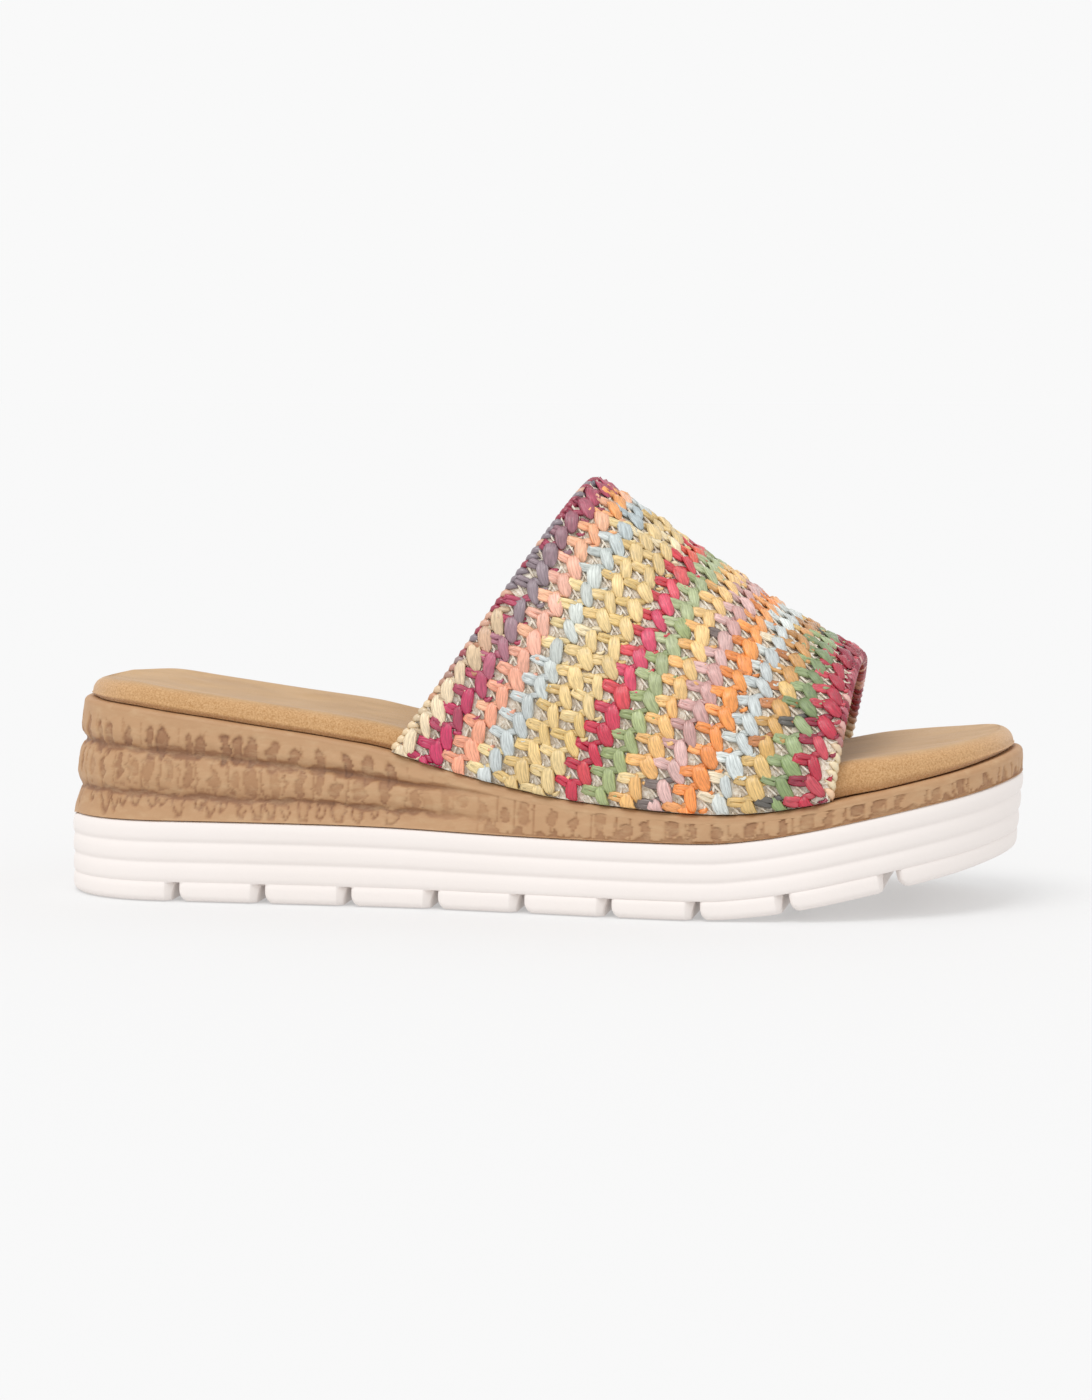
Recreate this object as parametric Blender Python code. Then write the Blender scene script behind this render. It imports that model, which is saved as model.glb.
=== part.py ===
"""Wedge slide sandal for the right foot: cleated outsole, wedge midsole, padded insole and a woven band.

Units are metres and +Z is up. The toe points to +X and the outer side of the foot is at -Y.
Every outline is worked out from the heel tip, where along = 0, to the toe tip, where along = 1.
The finished sandal is then centred over the origin, which lies on the floor.
"""

import math
from collections import namedtuple

import bmesh
import bpy
import numpy as np

# Overall sizes of the sole
LENGTH = 0.262
BALL_WIDTH = 0.0950
HEEL_WIDTH = 0.0670
HEEL_ROUND = 0.0330
TOE_ROUND = 0.0540
HEEL_POWER = 2.1
TOE_POWER = 2.3
TOE_SPRING = 0.0146

# Outsole
SOLE_AT_HEEL = 0.0217
SOLE_AT_BALL = 0.0200
SOLE_TOE_DRAFT = 0.0020
RIB_COUNT = 3
RIB_DEPTH = 0.0005
TOP_RIB_ROLL = 0.9
LUG_TOP_DEPTH = 0.25
LUG_TOP_SHARE = 0.85
LUG_HEIGHT = 0.0049
LUG_EDGE_ROUND = 0.0018
LUG_REAR_ROUND = 0.0026
LUG_FRONT_CUT = 0.0010
LUG_COUNT = 9
FIRST_GAP_FROM_HEEL = 0.0350
LUG_PITCH = 0.0239
TOE_LUG_FROM_HEEL = 0.2300
GAP_WIDTH = 0.0040
TOE_GAP_WIDTH = 0.0060

# Steps up one rib: share of the rib's height, and share of its depth
RIB_STEPS = ((0.0, 1.0), (0.22, 0.2), (0.62, 0.0))
# Shares of a quarter circle at which a rounded edge, and the longer round of a lug's or the insole's edge, has points
EDGE_TURNS = (0.0, 0.5, 1.0)
ROUND_TURNS = (0.0, 0.33, 0.67, 1.0)

# Wedge midsole
WEDGE_AT_HEEL = 0.0315
WEDGE_AT_FRONT = 0.0063
WEDGE_FOOT_INSET = 0.0003
WEDGE_HEEL_INSET = 0.0032
WEDGE_TOE_INSET = 0.0004
WEDGE_GROOVE_DEPTH = 0.0014
WEDGE_EDGE_ROUND = 0.0016
# Shares of the length between which the wedge's edge moves out from its heel inset to its toe inset
WEDGE_INSET_START = 0.10
WEDGE_INSET_END = 0.90

# Insole
INSOLE_AT_HEEL = 0.0060
INSOLE_AT_BALL = 0.0090
INSOLE_INSET = 0.0026
INSOLE_EDGE_ROUND = 0.0038
INSOLE_FOOT_CUT = 0.0004
INSOLE_DISH = 0.0022
# The front of the insole dips less, by this share, between these shares of the length
INSOLE_FRONT_LEVEL = 0.6
DISH_FADE_START = 0.25
DISH_FADE_END = 0.60
DISH_ROWS = 6
INSOLE_SEAT_STEP = 0.010
# Seat steps outside the band's end at which the insole starts and ends its step in
SEAT_STEP_OUT = 1.5
SEAT_STEP_IN = 0.5
INSOLE_CLEARANCE = 0.0010

# Woven band
BAND_WALL = 0.0024
BAND_INSET = 0.0014
BAND_BACK = 0.0955
BAND_FRONT = 0.2137
BAND_FRONT_SETBACK = 0.0050
CREST_BACK = 0.1455
CREST_FRONT = 0.2180
CREST_BACK_HEIGHT = 0.1132
CREST_FRONT_HEIGHT = 0.0658
CREST_SHIFT = 0.0030
ARCH_POWER = 2.1
LEAN_POWER = 0.94
STRIP_COUNT = 15
STITCH_COUNT = 30
STRIP_RAISE = 0.0009
EDGE_BRAID_RAISE = 0.0005
STRIP_ZIGZAG = 0.18
# Stitches over which the strips rise from the band's foot
STRIP_RUN_OUT = 2

SEAT_GAP = 0.0003
STATIONS = 36
DENSE = 200

# Share of the way from the heel's width to the ball's, and sideways shift towards the big toe
Plan = namedtuple("Plan", "along spread shift")
PLAN = (
    Plan(0.00, 0.00, 0.000),
    Plan(0.12, 0.00, 0.000),
    Plan(0.25, 0.02, -0.008),
    Plan(0.38, 0.09, -0.018),
    Plan(0.50, 0.36, -0.026),
    Plan(0.62, 0.80, -0.021),
    Plan(0.70, 1.00, -0.008),
    Plan(0.78, 1.00, 0.008),
    Plan(0.86, 0.88, 0.029),
    Plan(1.00, 0.68, 0.070),
)

# Shares of the toe spring, of the step from the ball's to the heel's sole thickness, of the wedge's extra
# height, and of the step from the heel's to the ball's insole thickness
Side = namedtuple("Side", "along spring sole wedge pad")
SIDE = (
    Side(0.00, 0.00, 0.35, 1.042, -0.45),
    Side(0.02, 0.00, 1.00, 0.995, -0.25),
    Side(0.08, 0.00, 1.00, 0.950, 0.00),
    Side(0.15, 0.00, 1.00, 0.860, 0.00),
    Side(0.22, 0.00, 1.00, 0.760, 0.00),
    Side(0.30, 0.00, 0.95, 0.650, 0.00),
    Side(0.36, 0.00, 0.80, 0.540, 0.00),
    Side(0.40, 0.00, 0.60, 0.430, 0.00),
    Side(0.44, 0.00, 0.38, 0.335, 0.03),
    Side(0.49, 0.00, 0.18, 0.235, 0.10),
    Side(0.54, 0.00, 0.05, 0.150, 0.20),
    Side(0.60, 0.00, 0.00, 0.092, 0.36),
    Side(0.66, 0.00, 0.00, 0.050, 0.56),
    Side(0.70, 0.01, 0.00, 0.030, 0.70),
    Side(0.75, 0.09, 0.05, 0.008, 0.88),
    Side(0.80, 0.24, 0.10, 0.000, 1.00),
    Side(0.85, 0.42, 0.12, 0.000, 0.86),
    Side(0.90, 0.60, 0.15, 0.000, 0.50),
    Side(0.95, 0.78, 0.20, 0.003, 0.05),
    Side(1.00, 1.00, 0.25, 0.010, -0.45),
)

# Rolls of the wedge's side: height share, and how much of the groove's depth is taken in there
Roll = namedtuple("Roll", "height groove")
ROLLS = (
    Roll(0.00, 0.00),
    Roll(0.08, 0.25),
    Roll(0.18, 0.65),
    Roll(0.25, 1.00),
    Roll(0.32, 0.45),
    Roll(0.40, 0.08),
    Roll(0.49, 0.00),
    Roll(0.57, 0.15),
    Roll(0.62, 0.50),
    Roll(0.67, 1.00),
    Roll(0.73, 0.40),
    Roll(0.82, 0.00),
    Roll(0.93, 0.10),
)
ROLL_FADE_START = 0.30
ROLL_FADE_END = 0.52

# The band's crest line from back to front: share of its run and share of its fall
Crest = namedtuple("Crest", "along run fall")
CREST = (
    Crest(0.00, 0.00, 0.00),
    Crest(0.25, 0.25, 0.26),
    Crest(0.50, 0.50, 0.53),
    Crest(0.75, 0.75, 0.79),
    Crest(1.00, 1.00, 1.00),
)


def follow(rows, column, at):
    """A table's column at any place along it, on a cubic that never swings past its rows."""
    x = np.array([row[0] for row in rows], float)
    y = np.array([getattr(row, column) for row in rows], float)
    step = np.diff(x)
    slope = np.diff(y) / step
    tangent = np.concatenate([slope[:1], np.zeros(len(y) - 2), slope[-1:]])
    both = slope[:-1] * slope[1:]
    rising = both > 0
    tangent[1:-1][rising] = 2 * both[rising] / (slope[:-1] + slope[1:])[rising]
    at = np.asarray(at, float)
    k = np.clip(np.searchsorted(x, at, side="right") - 1, 0, len(step) - 1)
    u = (at - x[k]) / step[k]
    start = y[k] * (1 + 2 * u) * (1 - u) ** 2 + tangent[k] * step[k] * u * (1 - u) ** 2
    end = y[k + 1] * u * u * (3 - 2 * u) + tangent[k + 1] * step[k] * u * u * (u - 1)
    return start + end


def rounding(at):
    """How much of the full width is there: a superellipse at the heel and another at the toe."""
    at = np.asarray(at, float)
    heel = np.clip(1 - at * LENGTH / HEEL_ROUND, 0, 1)
    toe = np.clip(1 - (1 - at) * LENGTH / TOE_ROUND, 0, 1)
    heel_part = (1 - heel**HEEL_POWER) ** (1 / HEEL_POWER)
    toe_part = (1 - toe**TOE_POWER) ** (1 / TOE_POWER)
    return heel_part * toe_part


def edge_y(at, side):
    """The sole's edge at a share of the length: side -1 is the outer edge and +1 the inner one."""
    width = HEEL_WIDTH + (BALL_WIDTH - HEEL_WIDTH) * follow(PLAN, "spread", at)
    centre = BALL_WIDTH * follow(PLAN, "shift", at)
    return centre + side * width / 2 * rounding(at)


def floor_height(at):
    return TOE_SPRING * follow(SIDE, "spring", at)


def sole_thickness(at):
    return SOLE_AT_BALL + (SOLE_AT_HEEL - SOLE_AT_BALL) * follow(SIDE, "sole", at)


def sole_top(at):
    return floor_height(at) + sole_thickness(at)


def wedge_height(at):
    return WEDGE_AT_FRONT + (WEDGE_AT_HEEL - WEDGE_AT_FRONT) * follow(SIDE, "wedge", at)


def wedge_top(at):
    return sole_top(at) + SEAT_GAP + wedge_height(at)


def insole_thickness(at):
    return INSOLE_AT_HEEL + (INSOLE_AT_BALL - INSOLE_AT_HEEL) * follow(SIDE, "pad", at)


def smooth_step(at, start, end):
    share = np.clip((np.asarray(at, float) - start) / (end - start), 0, 1)
    return share * share * (3 - 2 * share)


def stations():
    """Places along the sole, close together at the round heel and toe."""
    return 0.5 - 0.5 * np.cos(np.pi * np.arange(STATIONS + 1) / STATIONS)


def perimeter():
    """Shares along and points of the sole's outline: heel tip, outer edge, toe tip and inner edge."""
    at = stations()
    outer = np.stack([at * LENGTH, edge_y(at, -1)], axis=1)
    inner = np.stack([at * LENGTH, edge_y(at, 1)], axis=1)
    points = np.concatenate([outer, inner[-2:0:-1]])
    return np.concatenate([at, at[-2:0:-1]]), points


def outward():
    """Unit normals of the outline, in plan."""
    points = perimeter()[1]
    along = np.roll(points, -1, axis=0) - np.roll(points, 1, axis=0)
    along /= np.linalg.norm(along, axis=1)[:, None]
    return np.stack([along[:, 1], -along[:, 0]], axis=1)


def ring(inset, height):
    """The outline moved inwards by inset, at a height for each of its points."""
    points = perimeter()[1] - outward() * np.broadcast_to(inset, len(outward()))[:, None]
    return np.column_stack([points, np.broadcast_to(height, len(points))])


def side_faces(first, second, count):
    """Quads between two rings, the second above the first."""
    return [
        (first + j, first + (j + 1) % count, second + (j + 1) % count, second + j)
        for j in range(count)
    ]


def cap_faces(start, upwards):
    """Strips across a ring, from each outer point to the inner point of its station."""
    count = 2 * STATIONS
    faces = []
    for j in range(STATIONS):
        face = [start + j, start + j + 1, start + (count - j - 1) % count, start + (count - j) % count]
        face = list(dict.fromkeys(face))
        faces.append(face if upwards else face[::-1])
    return faces


def stack_faces(levels):
    """All the faces of a stack of rings with both ends capped by strips."""
    count = 2 * STATIONS
    faces = cap_faces(0, upwards=False)
    for k in range(levels - 1):
        faces += side_faces(k * count, (k + 1) * count, count)
    return faces, (levels - 1) * count


def make_material(name, colour, roughness):
    material = bpy.data.materials.new(name)
    material.use_nodes = True
    shader = material.node_tree.nodes["Principled BSDF"]
    shader.inputs["Base Color"].default_value = (*colour, 1.0)
    shader.inputs["Roughness"].default_value = roughness
    shader.inputs["Metallic"].default_value = 0.0
    return material


def make_object(name, points, faces, material, collection, sharp_degrees=40):
    mesh = bpy.data.meshes.new(name)
    mesh.from_pydata([tuple(map(float, point)) for point in points], [], faces)
    mesh.materials.append(material)
    mesh.shade_smooth()
    mesh.set_sharp_from_angle(angle=math.radians(sharp_degrees))
    piece = bpy.data.objects.new(name, mesh)
    collection.objects.link(piece)
    return piece


def outsole_profile():
    """(inset, height share) pairs from floor to top: lug edge, ribs between grooves, top edge."""
    lug_share = LUG_HEIGHT / SOLE_AT_BALL
    profile = []
    for turn in EDGE_TURNS:
        angle = turn * math.pi / 2
        inset = LUG_EDGE_ROUND * (1 - math.sin(angle))
        height = LUG_EDGE_ROUND * (1 - math.cos(angle)) / SOLE_AT_BALL
        profile.append((inset, height))
    profile.append((LUG_TOP_DEPTH * RIB_DEPTH, LUG_TOP_SHARE * lug_share))
    pitch = (1 - lug_share) / RIB_COUNT
    for rib in range(RIB_COUNT):
        base = lug_share + rib * pitch
        for share, depth in RIB_STEPS:
            profile.append((depth * RIB_DEPTH, base + share * pitch))
    profile.append((TOP_RIB_ROLL * RIB_DEPTH, 1.0))
    return profile


def make_outsole(material, collection, cutters):
    at = perimeter()[0]
    profile = outsole_profile()
    draft = SOLE_TOE_DRAFT * smooth_step(at, 1 - TOE_ROUND / LENGTH, 1.0)
    rings = [
        ring(inset + draft * (1 - share), floor_height(at) + share * sole_thickness(at))
        for inset, share in profile
    ]
    faces, last = stack_faces(len(rings))
    faces += cap_faces(last, upwards=True)
    sole = make_object("outsole", np.concatenate(rings), faces, material, collection)
    cut = sole.modifiers.new("lug gaps", "BOOLEAN")
    cut.operation = "DIFFERENCE"
    cut.object = make_gap_cutter(cutters)
    return sole


def gap_profile(width):
    """Outline of one gap between lugs, seen from the side, with its floor line at zero height."""
    half = width / 2
    below = -LUG_HEIGHT
    outline = [(-half - LUG_FRONT_CUT, below), (half + LUG_REAR_ROUND, below)]
    for turn in ROUND_TURNS:
        angle = turn * math.pi / 2
        x = half + LUG_REAR_ROUND * (1 - math.sin(angle))
        outline.append((x, LUG_REAR_ROUND * (1 - math.cos(angle))))
    outline += [(half, LUG_HEIGHT), (-half, LUG_HEIGHT), (-half - LUG_FRONT_CUT, 0.0)]
    return outline


def gap_places():
    """(distance from the heel, width) of each gap between two lugs."""
    places = [(FIRST_GAP_FROM_HEEL + k * LUG_PITCH, GAP_WIDTH) for k in range(LUG_COUNT - 1)]
    return places + [(TOE_LUG_FROM_HEEL, TOE_GAP_WIDTH)]


def make_gap_cutter(cutters):
    """All the gaps as one mesh: each a prism across the sole, tipped to the rocker."""
    shape = bmesh.new()
    reach = BALL_WIDTH
    for x, width in gap_places():
        at = x / LENGTH
        slope = math.atan2(
            float(floor_height(at + 0.01) - floor_height(at - 0.01)), 0.02 * LENGTH
        )
        corners = []
        for px, pz in gap_profile(width):
            dx = px * math.cos(slope) - pz * math.sin(slope)
            dz = px * math.sin(slope) + pz * math.cos(slope)
            corners.append(shape.verts.new((x + dx, -reach, float(floor_height(at)) + dz)))
        face = shape.faces.new(corners)
        grown = bmesh.ops.extrude_face_region(shape, geom=[face])["geom"]
        moved = [item for item in grown if isinstance(item, bmesh.types.BMVert)]
        bmesh.ops.translate(shape, verts=moved, vec=(0.0, 2 * reach, 0.0))
    bmesh.ops.recalc_face_normals(shape, faces=shape.faces)
    mesh = bpy.data.meshes.new("lug gap cutter")
    shape.to_mesh(mesh)
    shape.free()
    cutter = bpy.data.objects.new("lug gap cutter", mesh)
    cutters.objects.link(cutter)
    cutter.hide_render = True
    cutter.display_type = "WIRE"
    return cutter


def wedge_edge_inset(at):
    """How far the wedge's top edge stands in from the outsole's, from heel to toe."""
    return WEDGE_HEEL_INSET + (WEDGE_TOE_INSET - WEDGE_HEEL_INSET) * smooth_step(
        at, WEDGE_INSET_START, WEDGE_INSET_END
    )


def make_wedge(material, collection):
    at = perimeter()[0]
    base = sole_top(at) + SEAT_GAP
    height = wedge_height(at)
    fade = 1 - smooth_step(at, ROLL_FADE_START, ROLL_FADE_END)
    rings = []
    for roll in ROLLS:
        lean = WEDGE_FOOT_INSET + (wedge_edge_inset(at) - WEDGE_FOOT_INSET) * roll.height
        inset = lean + WEDGE_GROOVE_DEPTH * roll.groove * fade
        rings.append(ring(inset, base + roll.height * (height - WEDGE_EDGE_ROUND)))
    for turn in EDGE_TURNS:
        angle = turn * math.pi / 2
        inset = wedge_edge_inset(at) + WEDGE_EDGE_ROUND * (1 - math.cos(angle))
        rise = WEDGE_EDGE_ROUND * (math.sin(angle) - 1)
        rings.append(ring(inset, base + height + rise))
    faces, last = stack_faces(len(rings))
    faces += cap_faces(last, upwards=True)
    return make_object("wedge_midsole", np.concatenate(rings), faces, material, collection)


def band_ends(side):
    """Where the band's back and front edges meet the wedge on one side, from the heel tip."""
    front = BAND_FRONT - (BAND_FRONT_SETBACK if side > 0 else 0.0)
    return BAND_BACK, front


def band_inset(at):
    """How far the band's foot stands in from the outsole's edge."""
    return wedge_edge_inset(at) + BAND_INSET


def insole_inset(at, side):
    """The insole stands further in where the band passes down beside it."""
    back, front = (end / LENGTH for end in band_ends(side))
    step = INSOLE_SEAT_STEP / LENGTH
    under = smooth_step(at, back - SEAT_STEP_OUT * step, back - SEAT_STEP_IN * step)
    under = under * (1 - smooth_step(at, front + SEAT_STEP_IN * step, front + SEAT_STEP_OUT * step))
    beside_band = BAND_INSET + BAND_WALL + INSOLE_CLEARANCE
    return wedge_edge_inset(at) + INSOLE_INSET + (beside_band - INSOLE_INSET) * under


def make_insole(material, collection):
    at, points = perimeter()
    sides = np.where(np.arange(len(at)) <= STATIONS, -1, 1)
    inset = np.where(sides < 0, insole_inset(at, -1), insole_inset(at, 1))
    bottom = wedge_top(at) + SEAT_GAP
    rings = [ring(inset + INSOLE_FOOT_CUT, bottom), ring(inset, bottom + INSOLE_FOOT_CUT)]
    for turn in ROUND_TURNS:
        angle = turn * math.pi / 2
        rise = insole_thickness(at) + INSOLE_EDGE_ROUND * (math.sin(angle) - 1)
        rings.append(ring(inset + INSOLE_EDGE_ROUND * (1 - math.cos(angle)), bottom + rise))
    faces, last = stack_faces(len(rings))
    points = list(np.concatenate(rings))
    faces += dished_top(points, last, at)
    return make_object("insole", points, faces, material, collection, sharp_degrees=60)


def dished_top(points, last, at):
    """Adds the insole's top: rows from edge to edge that dip in the middle, most at the heel."""
    count = 2 * STATIONS
    rows = []
    for j in range(STATIONS + 1):
        outer, inner = last + j, last + (count - j) % count
        if j in (0, STATIONS):
            rows.append([outer] * (DISH_ROWS + 1))
            continue
        level = INSOLE_FRONT_LEVEL * smooth_step(at[j], DISH_FADE_START, DISH_FADE_END)
        dip = INSOLE_DISH * (1 - level)
        row = [outer]
        for k in range(1, DISH_ROWS):
            share = k / DISH_ROWS
            point = points[outer] * (1 - share) + points[inner] * share
            point[2] -= dip * math.sin(math.pi * share) * float(rounding(at[j]))
            row.append(len(points))
            points.append(point)
        rows.append(row + [inner])
    faces = []
    for first, second in zip(rows, rows[1:]):
        for k in range(DISH_ROWS):
            face = [first[k], second[k], second[k + 1], first[k + 1]]
            faces.append(list(dict.fromkeys(face)))
    return faces


def band_side(u, side):
    """(foot point, crest point) of the band at u, 0 at its back edge and 1 at its front edge."""
    back, front = band_ends(side)
    foot_x = back + (front - back) * u
    at = foot_x / LENGTH
    foot_y = edge_y(at, side) - side * band_inset(at)
    foot = np.stack([foot_x, foot_y, wedge_top(at) + SEAT_GAP], axis=-1)
    crest_x = CREST_BACK + (CREST_FRONT - CREST_BACK) * follow(CREST, "run", u)
    fall = (CREST_BACK_HEIGHT - CREST_FRONT_HEIGHT) * follow(CREST, "fall", u)
    crest_y = BALL_WIDTH * follow(PLAN, "shift", crest_x / LENGTH) + CREST_SHIFT
    crest = np.stack([crest_x, crest_y, CREST_BACK_HEIGHT - fall], axis=-1)
    return foot, crest


def band_point(u, w):
    """The band's outer face before its strips rise: w is -1 at the outer foot, 0 on the crest and 1 at
    the inner foot. Each half is a quarter of a superellipse that leans forwards as it climbs, and is
    measured along its own length."""
    side = -1 if w < 0 else 1
    foot, crest = band_side(u, side)
    angle = np.linspace(0, math.pi / 2, DENSE)
    power = 2 / ARCH_POWER
    height = np.sin(angle) ** power
    x = foot[0] + (crest[0] - foot[0]) * height**LEAN_POWER
    reach = edge_y(x / LENGTH, side) - side * band_inset(x / LENGTH) - crest[1]
    y = crest[1] + reach * np.cos(angle).clip(0) ** power
    z = foot[2] + (crest[2] - foot[2]) * height
    line = np.stack([x, y, z], axis=1)
    run = np.concatenate([[0], np.cumsum(np.linalg.norm(np.diff(line, axis=0), axis=1))])
    place = (1 - abs(w)) * run[-1]
    return np.array([np.interp(place, run, line[:, axis]) for axis in range(3)])


def band_grid(columns, rows):
    """Points and outward unit normals of the band's outer face."""
    us = np.linspace(0, 1, columns + 1)
    ws = np.linspace(-1, 1, rows + 1)
    points = np.array([[band_point(u, w) for w in ws] for u in us])
    normals = np.cross(np.gradient(points, axis=0), np.gradient(points, axis=1))
    normals /= np.linalg.norm(normals, axis=2)[:, :, None]
    return points, normals


def make_band(material, collection):
    """A hollow wall whose outer face has a ridge for each strip, zigzagging stitch by stitch, and a step
    for the braid along each edge."""
    columns, rows = 2 * STRIP_COUNT, 2 * STITCH_COUNT
    outer, normals = band_grid(columns, rows)
    sideways = np.gradient(outer, axis=0)
    for i in range(0, columns + 1, 2):
        edge = i in (0, columns)
        for j in range(rows + 1):
            swing = 0.0 if edge else STRIP_ZIGZAG * (1 if j % 2 else -1)
            run_out = min(1.0, min(j, rows - j) / STRIP_RUN_OUT)
            raised = (EDGE_BRAID_RAISE if edge else STRIP_RAISE) * run_out
            outer[i, j] += sideways[i, j] * swing * 2 + normals[i, j] * raised
    inner, inner_normals = band_grid(columns // 2, rows // 2)
    inner = inner - inner_normals * BAND_WALL
    inner[:, 0, 2] = outer[::2, 0, 2]
    inner[:, -1, 2] = outer[::2, -1, 2]
    points = np.concatenate([outer.reshape(-1, 3), inner.reshape(-1, 3)])
    faces = sheet_faces(0, columns, rows, upwards=True)
    first = (columns + 1) * (rows + 1)
    faces += sheet_faces(first, columns // 2, rows // 2, upwards=False)
    faces += rim_faces(columns, rows, first)
    return make_object("woven_band", points, faces, material, collection, sharp_degrees=80)


def sheet_faces(start, columns, rows, upwards):
    """Quads of a grid stored row by row."""
    faces = []
    for i in range(columns):
        for j in range(rows):
            a = start + i * (rows + 1) + j
            face = (a, a + rows + 1, a + rows + 2, a + 1)
            faces.append(face if upwards else face[::-1])
    return faces


def rim_faces(columns, rows, first):
    """Closes the wall between the fine outer face and the inner face, which has half its steps."""
    def outer(i, j):
        return i * (rows + 1) + j

    def inner(i, j):
        return first + i * (rows // 2 + 1) + j

    faces = []
    for i in range(columns // 2):
        for j, turned in ((0, False), (rows, True)):
            a, b = inner(i, j // 2), inner(i + 1, j // 2)
            p, q, r = outer(2 * i, j), outer(2 * i + 1, j), outer(2 * i + 2, j)
            faces += [f[::-1] if turned else f for f in ((a, q, p), (a, b, q), (b, r, q))]
    for j in range(rows // 2):
        for i, turned in ((0, True), (columns, False)):
            a, b = inner(i // 2, j), inner(i // 2, j + 1)
            p, q, r = outer(i, 2 * j), outer(i, 2 * j + 1), outer(i, 2 * j + 2)
            faces += [f[::-1] if turned else f for f in ((a, q, p), (a, b, q), (b, r, q))]
    return faces


def centre_over_floor(pieces, collection):
    """Hangs the pieces from one empty, moved so that the origin is under the middle of the sandal."""
    corners = np.array([
        corner.co[:] for piece in pieces for corner in piece.data.vertices
    ])
    low, high = corners.min(axis=0), corners.max(axis=0)
    base = bpy.data.objects.new("sandal", None)
    collection.objects.link(base)
    base.location = (-(low[0] + high[0]) / 2, -(low[1] + high[1]) / 2, -low[2])
    for piece in pieces:
        piece.parent = base
    return base


def main():
    for old in list(bpy.data.objects):
        bpy.data.objects.remove(old)
    sandal = bpy.data.collections.new("wedge slide sandal")
    cutters = bpy.data.collections.new("cutters")
    bpy.context.scene.collection.children.link(sandal)
    bpy.context.scene.collection.children.link(cutters)
    white_foam = make_material("white moulded foam rubber", (0.87, 0.82, 0.79), 0.55)
    bark_foam = make_material("bark embossed foam", (0.42, 0.27, 0.16), 0.65)
    suede = make_material("tan suede", (0.50, 0.31, 0.15), 0.9)
    raffia = make_material("woven raffia", (0.80, 0.55, 0.35), 0.5)
    outsole = make_outsole(white_foam, sandal, cutters)
    pieces = [
        outsole,
        make_wedge(bark_foam, sandal),
        make_insole(suede, sandal),
        make_band(raffia, sandal),
    ]
    base = centre_over_floor(pieces, sandal)
    outsole.modifiers["lug gaps"].object.parent = base


main()
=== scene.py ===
"""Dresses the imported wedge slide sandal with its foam, bark, suede and raffia surfaces.

Units are metres and +Z is up. The toe points to +X and the outer side of the foot is at -Y. Every outline is
worked out as shares of the sole's length, from 0 at the heel tip to 1 at the toe tip, as in the part's source.
"""

import math

import bpy
import numpy as np
from bpy.props import FloatProperty, FloatVectorProperty, PointerProperty
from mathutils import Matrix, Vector


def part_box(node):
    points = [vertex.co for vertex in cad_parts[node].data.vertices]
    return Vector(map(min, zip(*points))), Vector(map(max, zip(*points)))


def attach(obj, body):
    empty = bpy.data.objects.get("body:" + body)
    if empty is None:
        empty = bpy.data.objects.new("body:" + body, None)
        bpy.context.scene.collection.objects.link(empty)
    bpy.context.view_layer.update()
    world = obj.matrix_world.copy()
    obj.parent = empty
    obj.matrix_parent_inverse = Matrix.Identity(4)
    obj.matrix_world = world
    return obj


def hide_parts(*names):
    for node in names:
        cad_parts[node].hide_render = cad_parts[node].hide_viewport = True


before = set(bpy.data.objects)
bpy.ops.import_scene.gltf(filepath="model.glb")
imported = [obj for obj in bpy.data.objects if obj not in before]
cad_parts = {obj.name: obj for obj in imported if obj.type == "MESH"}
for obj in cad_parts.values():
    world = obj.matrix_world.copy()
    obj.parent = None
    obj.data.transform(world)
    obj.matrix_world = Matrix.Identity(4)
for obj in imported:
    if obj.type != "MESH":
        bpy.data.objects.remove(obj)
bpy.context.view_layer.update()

bl_info = {
    "name": "Woven wedge sandal",
    "version": (1, 0, 0),
    "blender": (4, 5, 0),
    "location": "3D View > Sidebar > Sandal",
    "description": "Dresses the solids of a wedge slide sandal with its foam, bark, suede and raffia surfaces",
    "category": "Add Mesh",
}

MM = 0.001

# The sole's overall sizes
LENGTH = 0.262
BALL_WIDTH = 0.0950
HEEL_WIDTH = 0.0670
HEEL_ROUND = 0.0330
TOE_ROUND = 0.0540
HEEL_POWER = 2.1
TOE_POWER = 2.3
TOE_SPRING = 0.0146

# Outsole
SOLE_AT_HEEL = 0.0217
SOLE_AT_BALL = 0.0200
SOLE_TOE_DRAFT = 0.0020
RIB_COUNT = 3
LUG_HEIGHT = 0.0049
LUG_EDGE_ROUND = 0.0018
LUG_REAR_ROUND = 0.0026
LUG_FRONT_CUT = 0.0010
LUG_FACE = 0.0025
LUG_COUNT = 9
FIRST_GAP_FROM_HEEL = 0.0350
LUG_PITCH = 0.0239
TOE_LUG_FROM_HEEL = 0.2300
GAP_WIDTH = 0.0040
TOE_GAP_WIDTH = 0.0060

# Wedge midsole
WEDGE_AT_HEEL = 0.0315
WEDGE_AT_FRONT = 0.0063
WEDGE_FOOT_INSET = 0.0003
WEDGE_HEEL_INSET = 0.0032
WEDGE_TOE_INSET = 0.0004
WEDGE_GROOVE_DEPTH = 0.0014
WEDGE_EDGE_ROUND = 0.0016

# Insole
INSOLE_AT_HEEL = 0.0060
INSOLE_AT_BALL = 0.0090
INSOLE_INSET = 0.0026
INSOLE_EDGE_ROUND = 0.0038
INSOLE_FOOT_CUT = 0.0004
INSOLE_DISH = 0.0022
INSOLE_SEAT_STEP = 0.010
INSOLE_CLEARANCE = 0.0010

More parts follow.
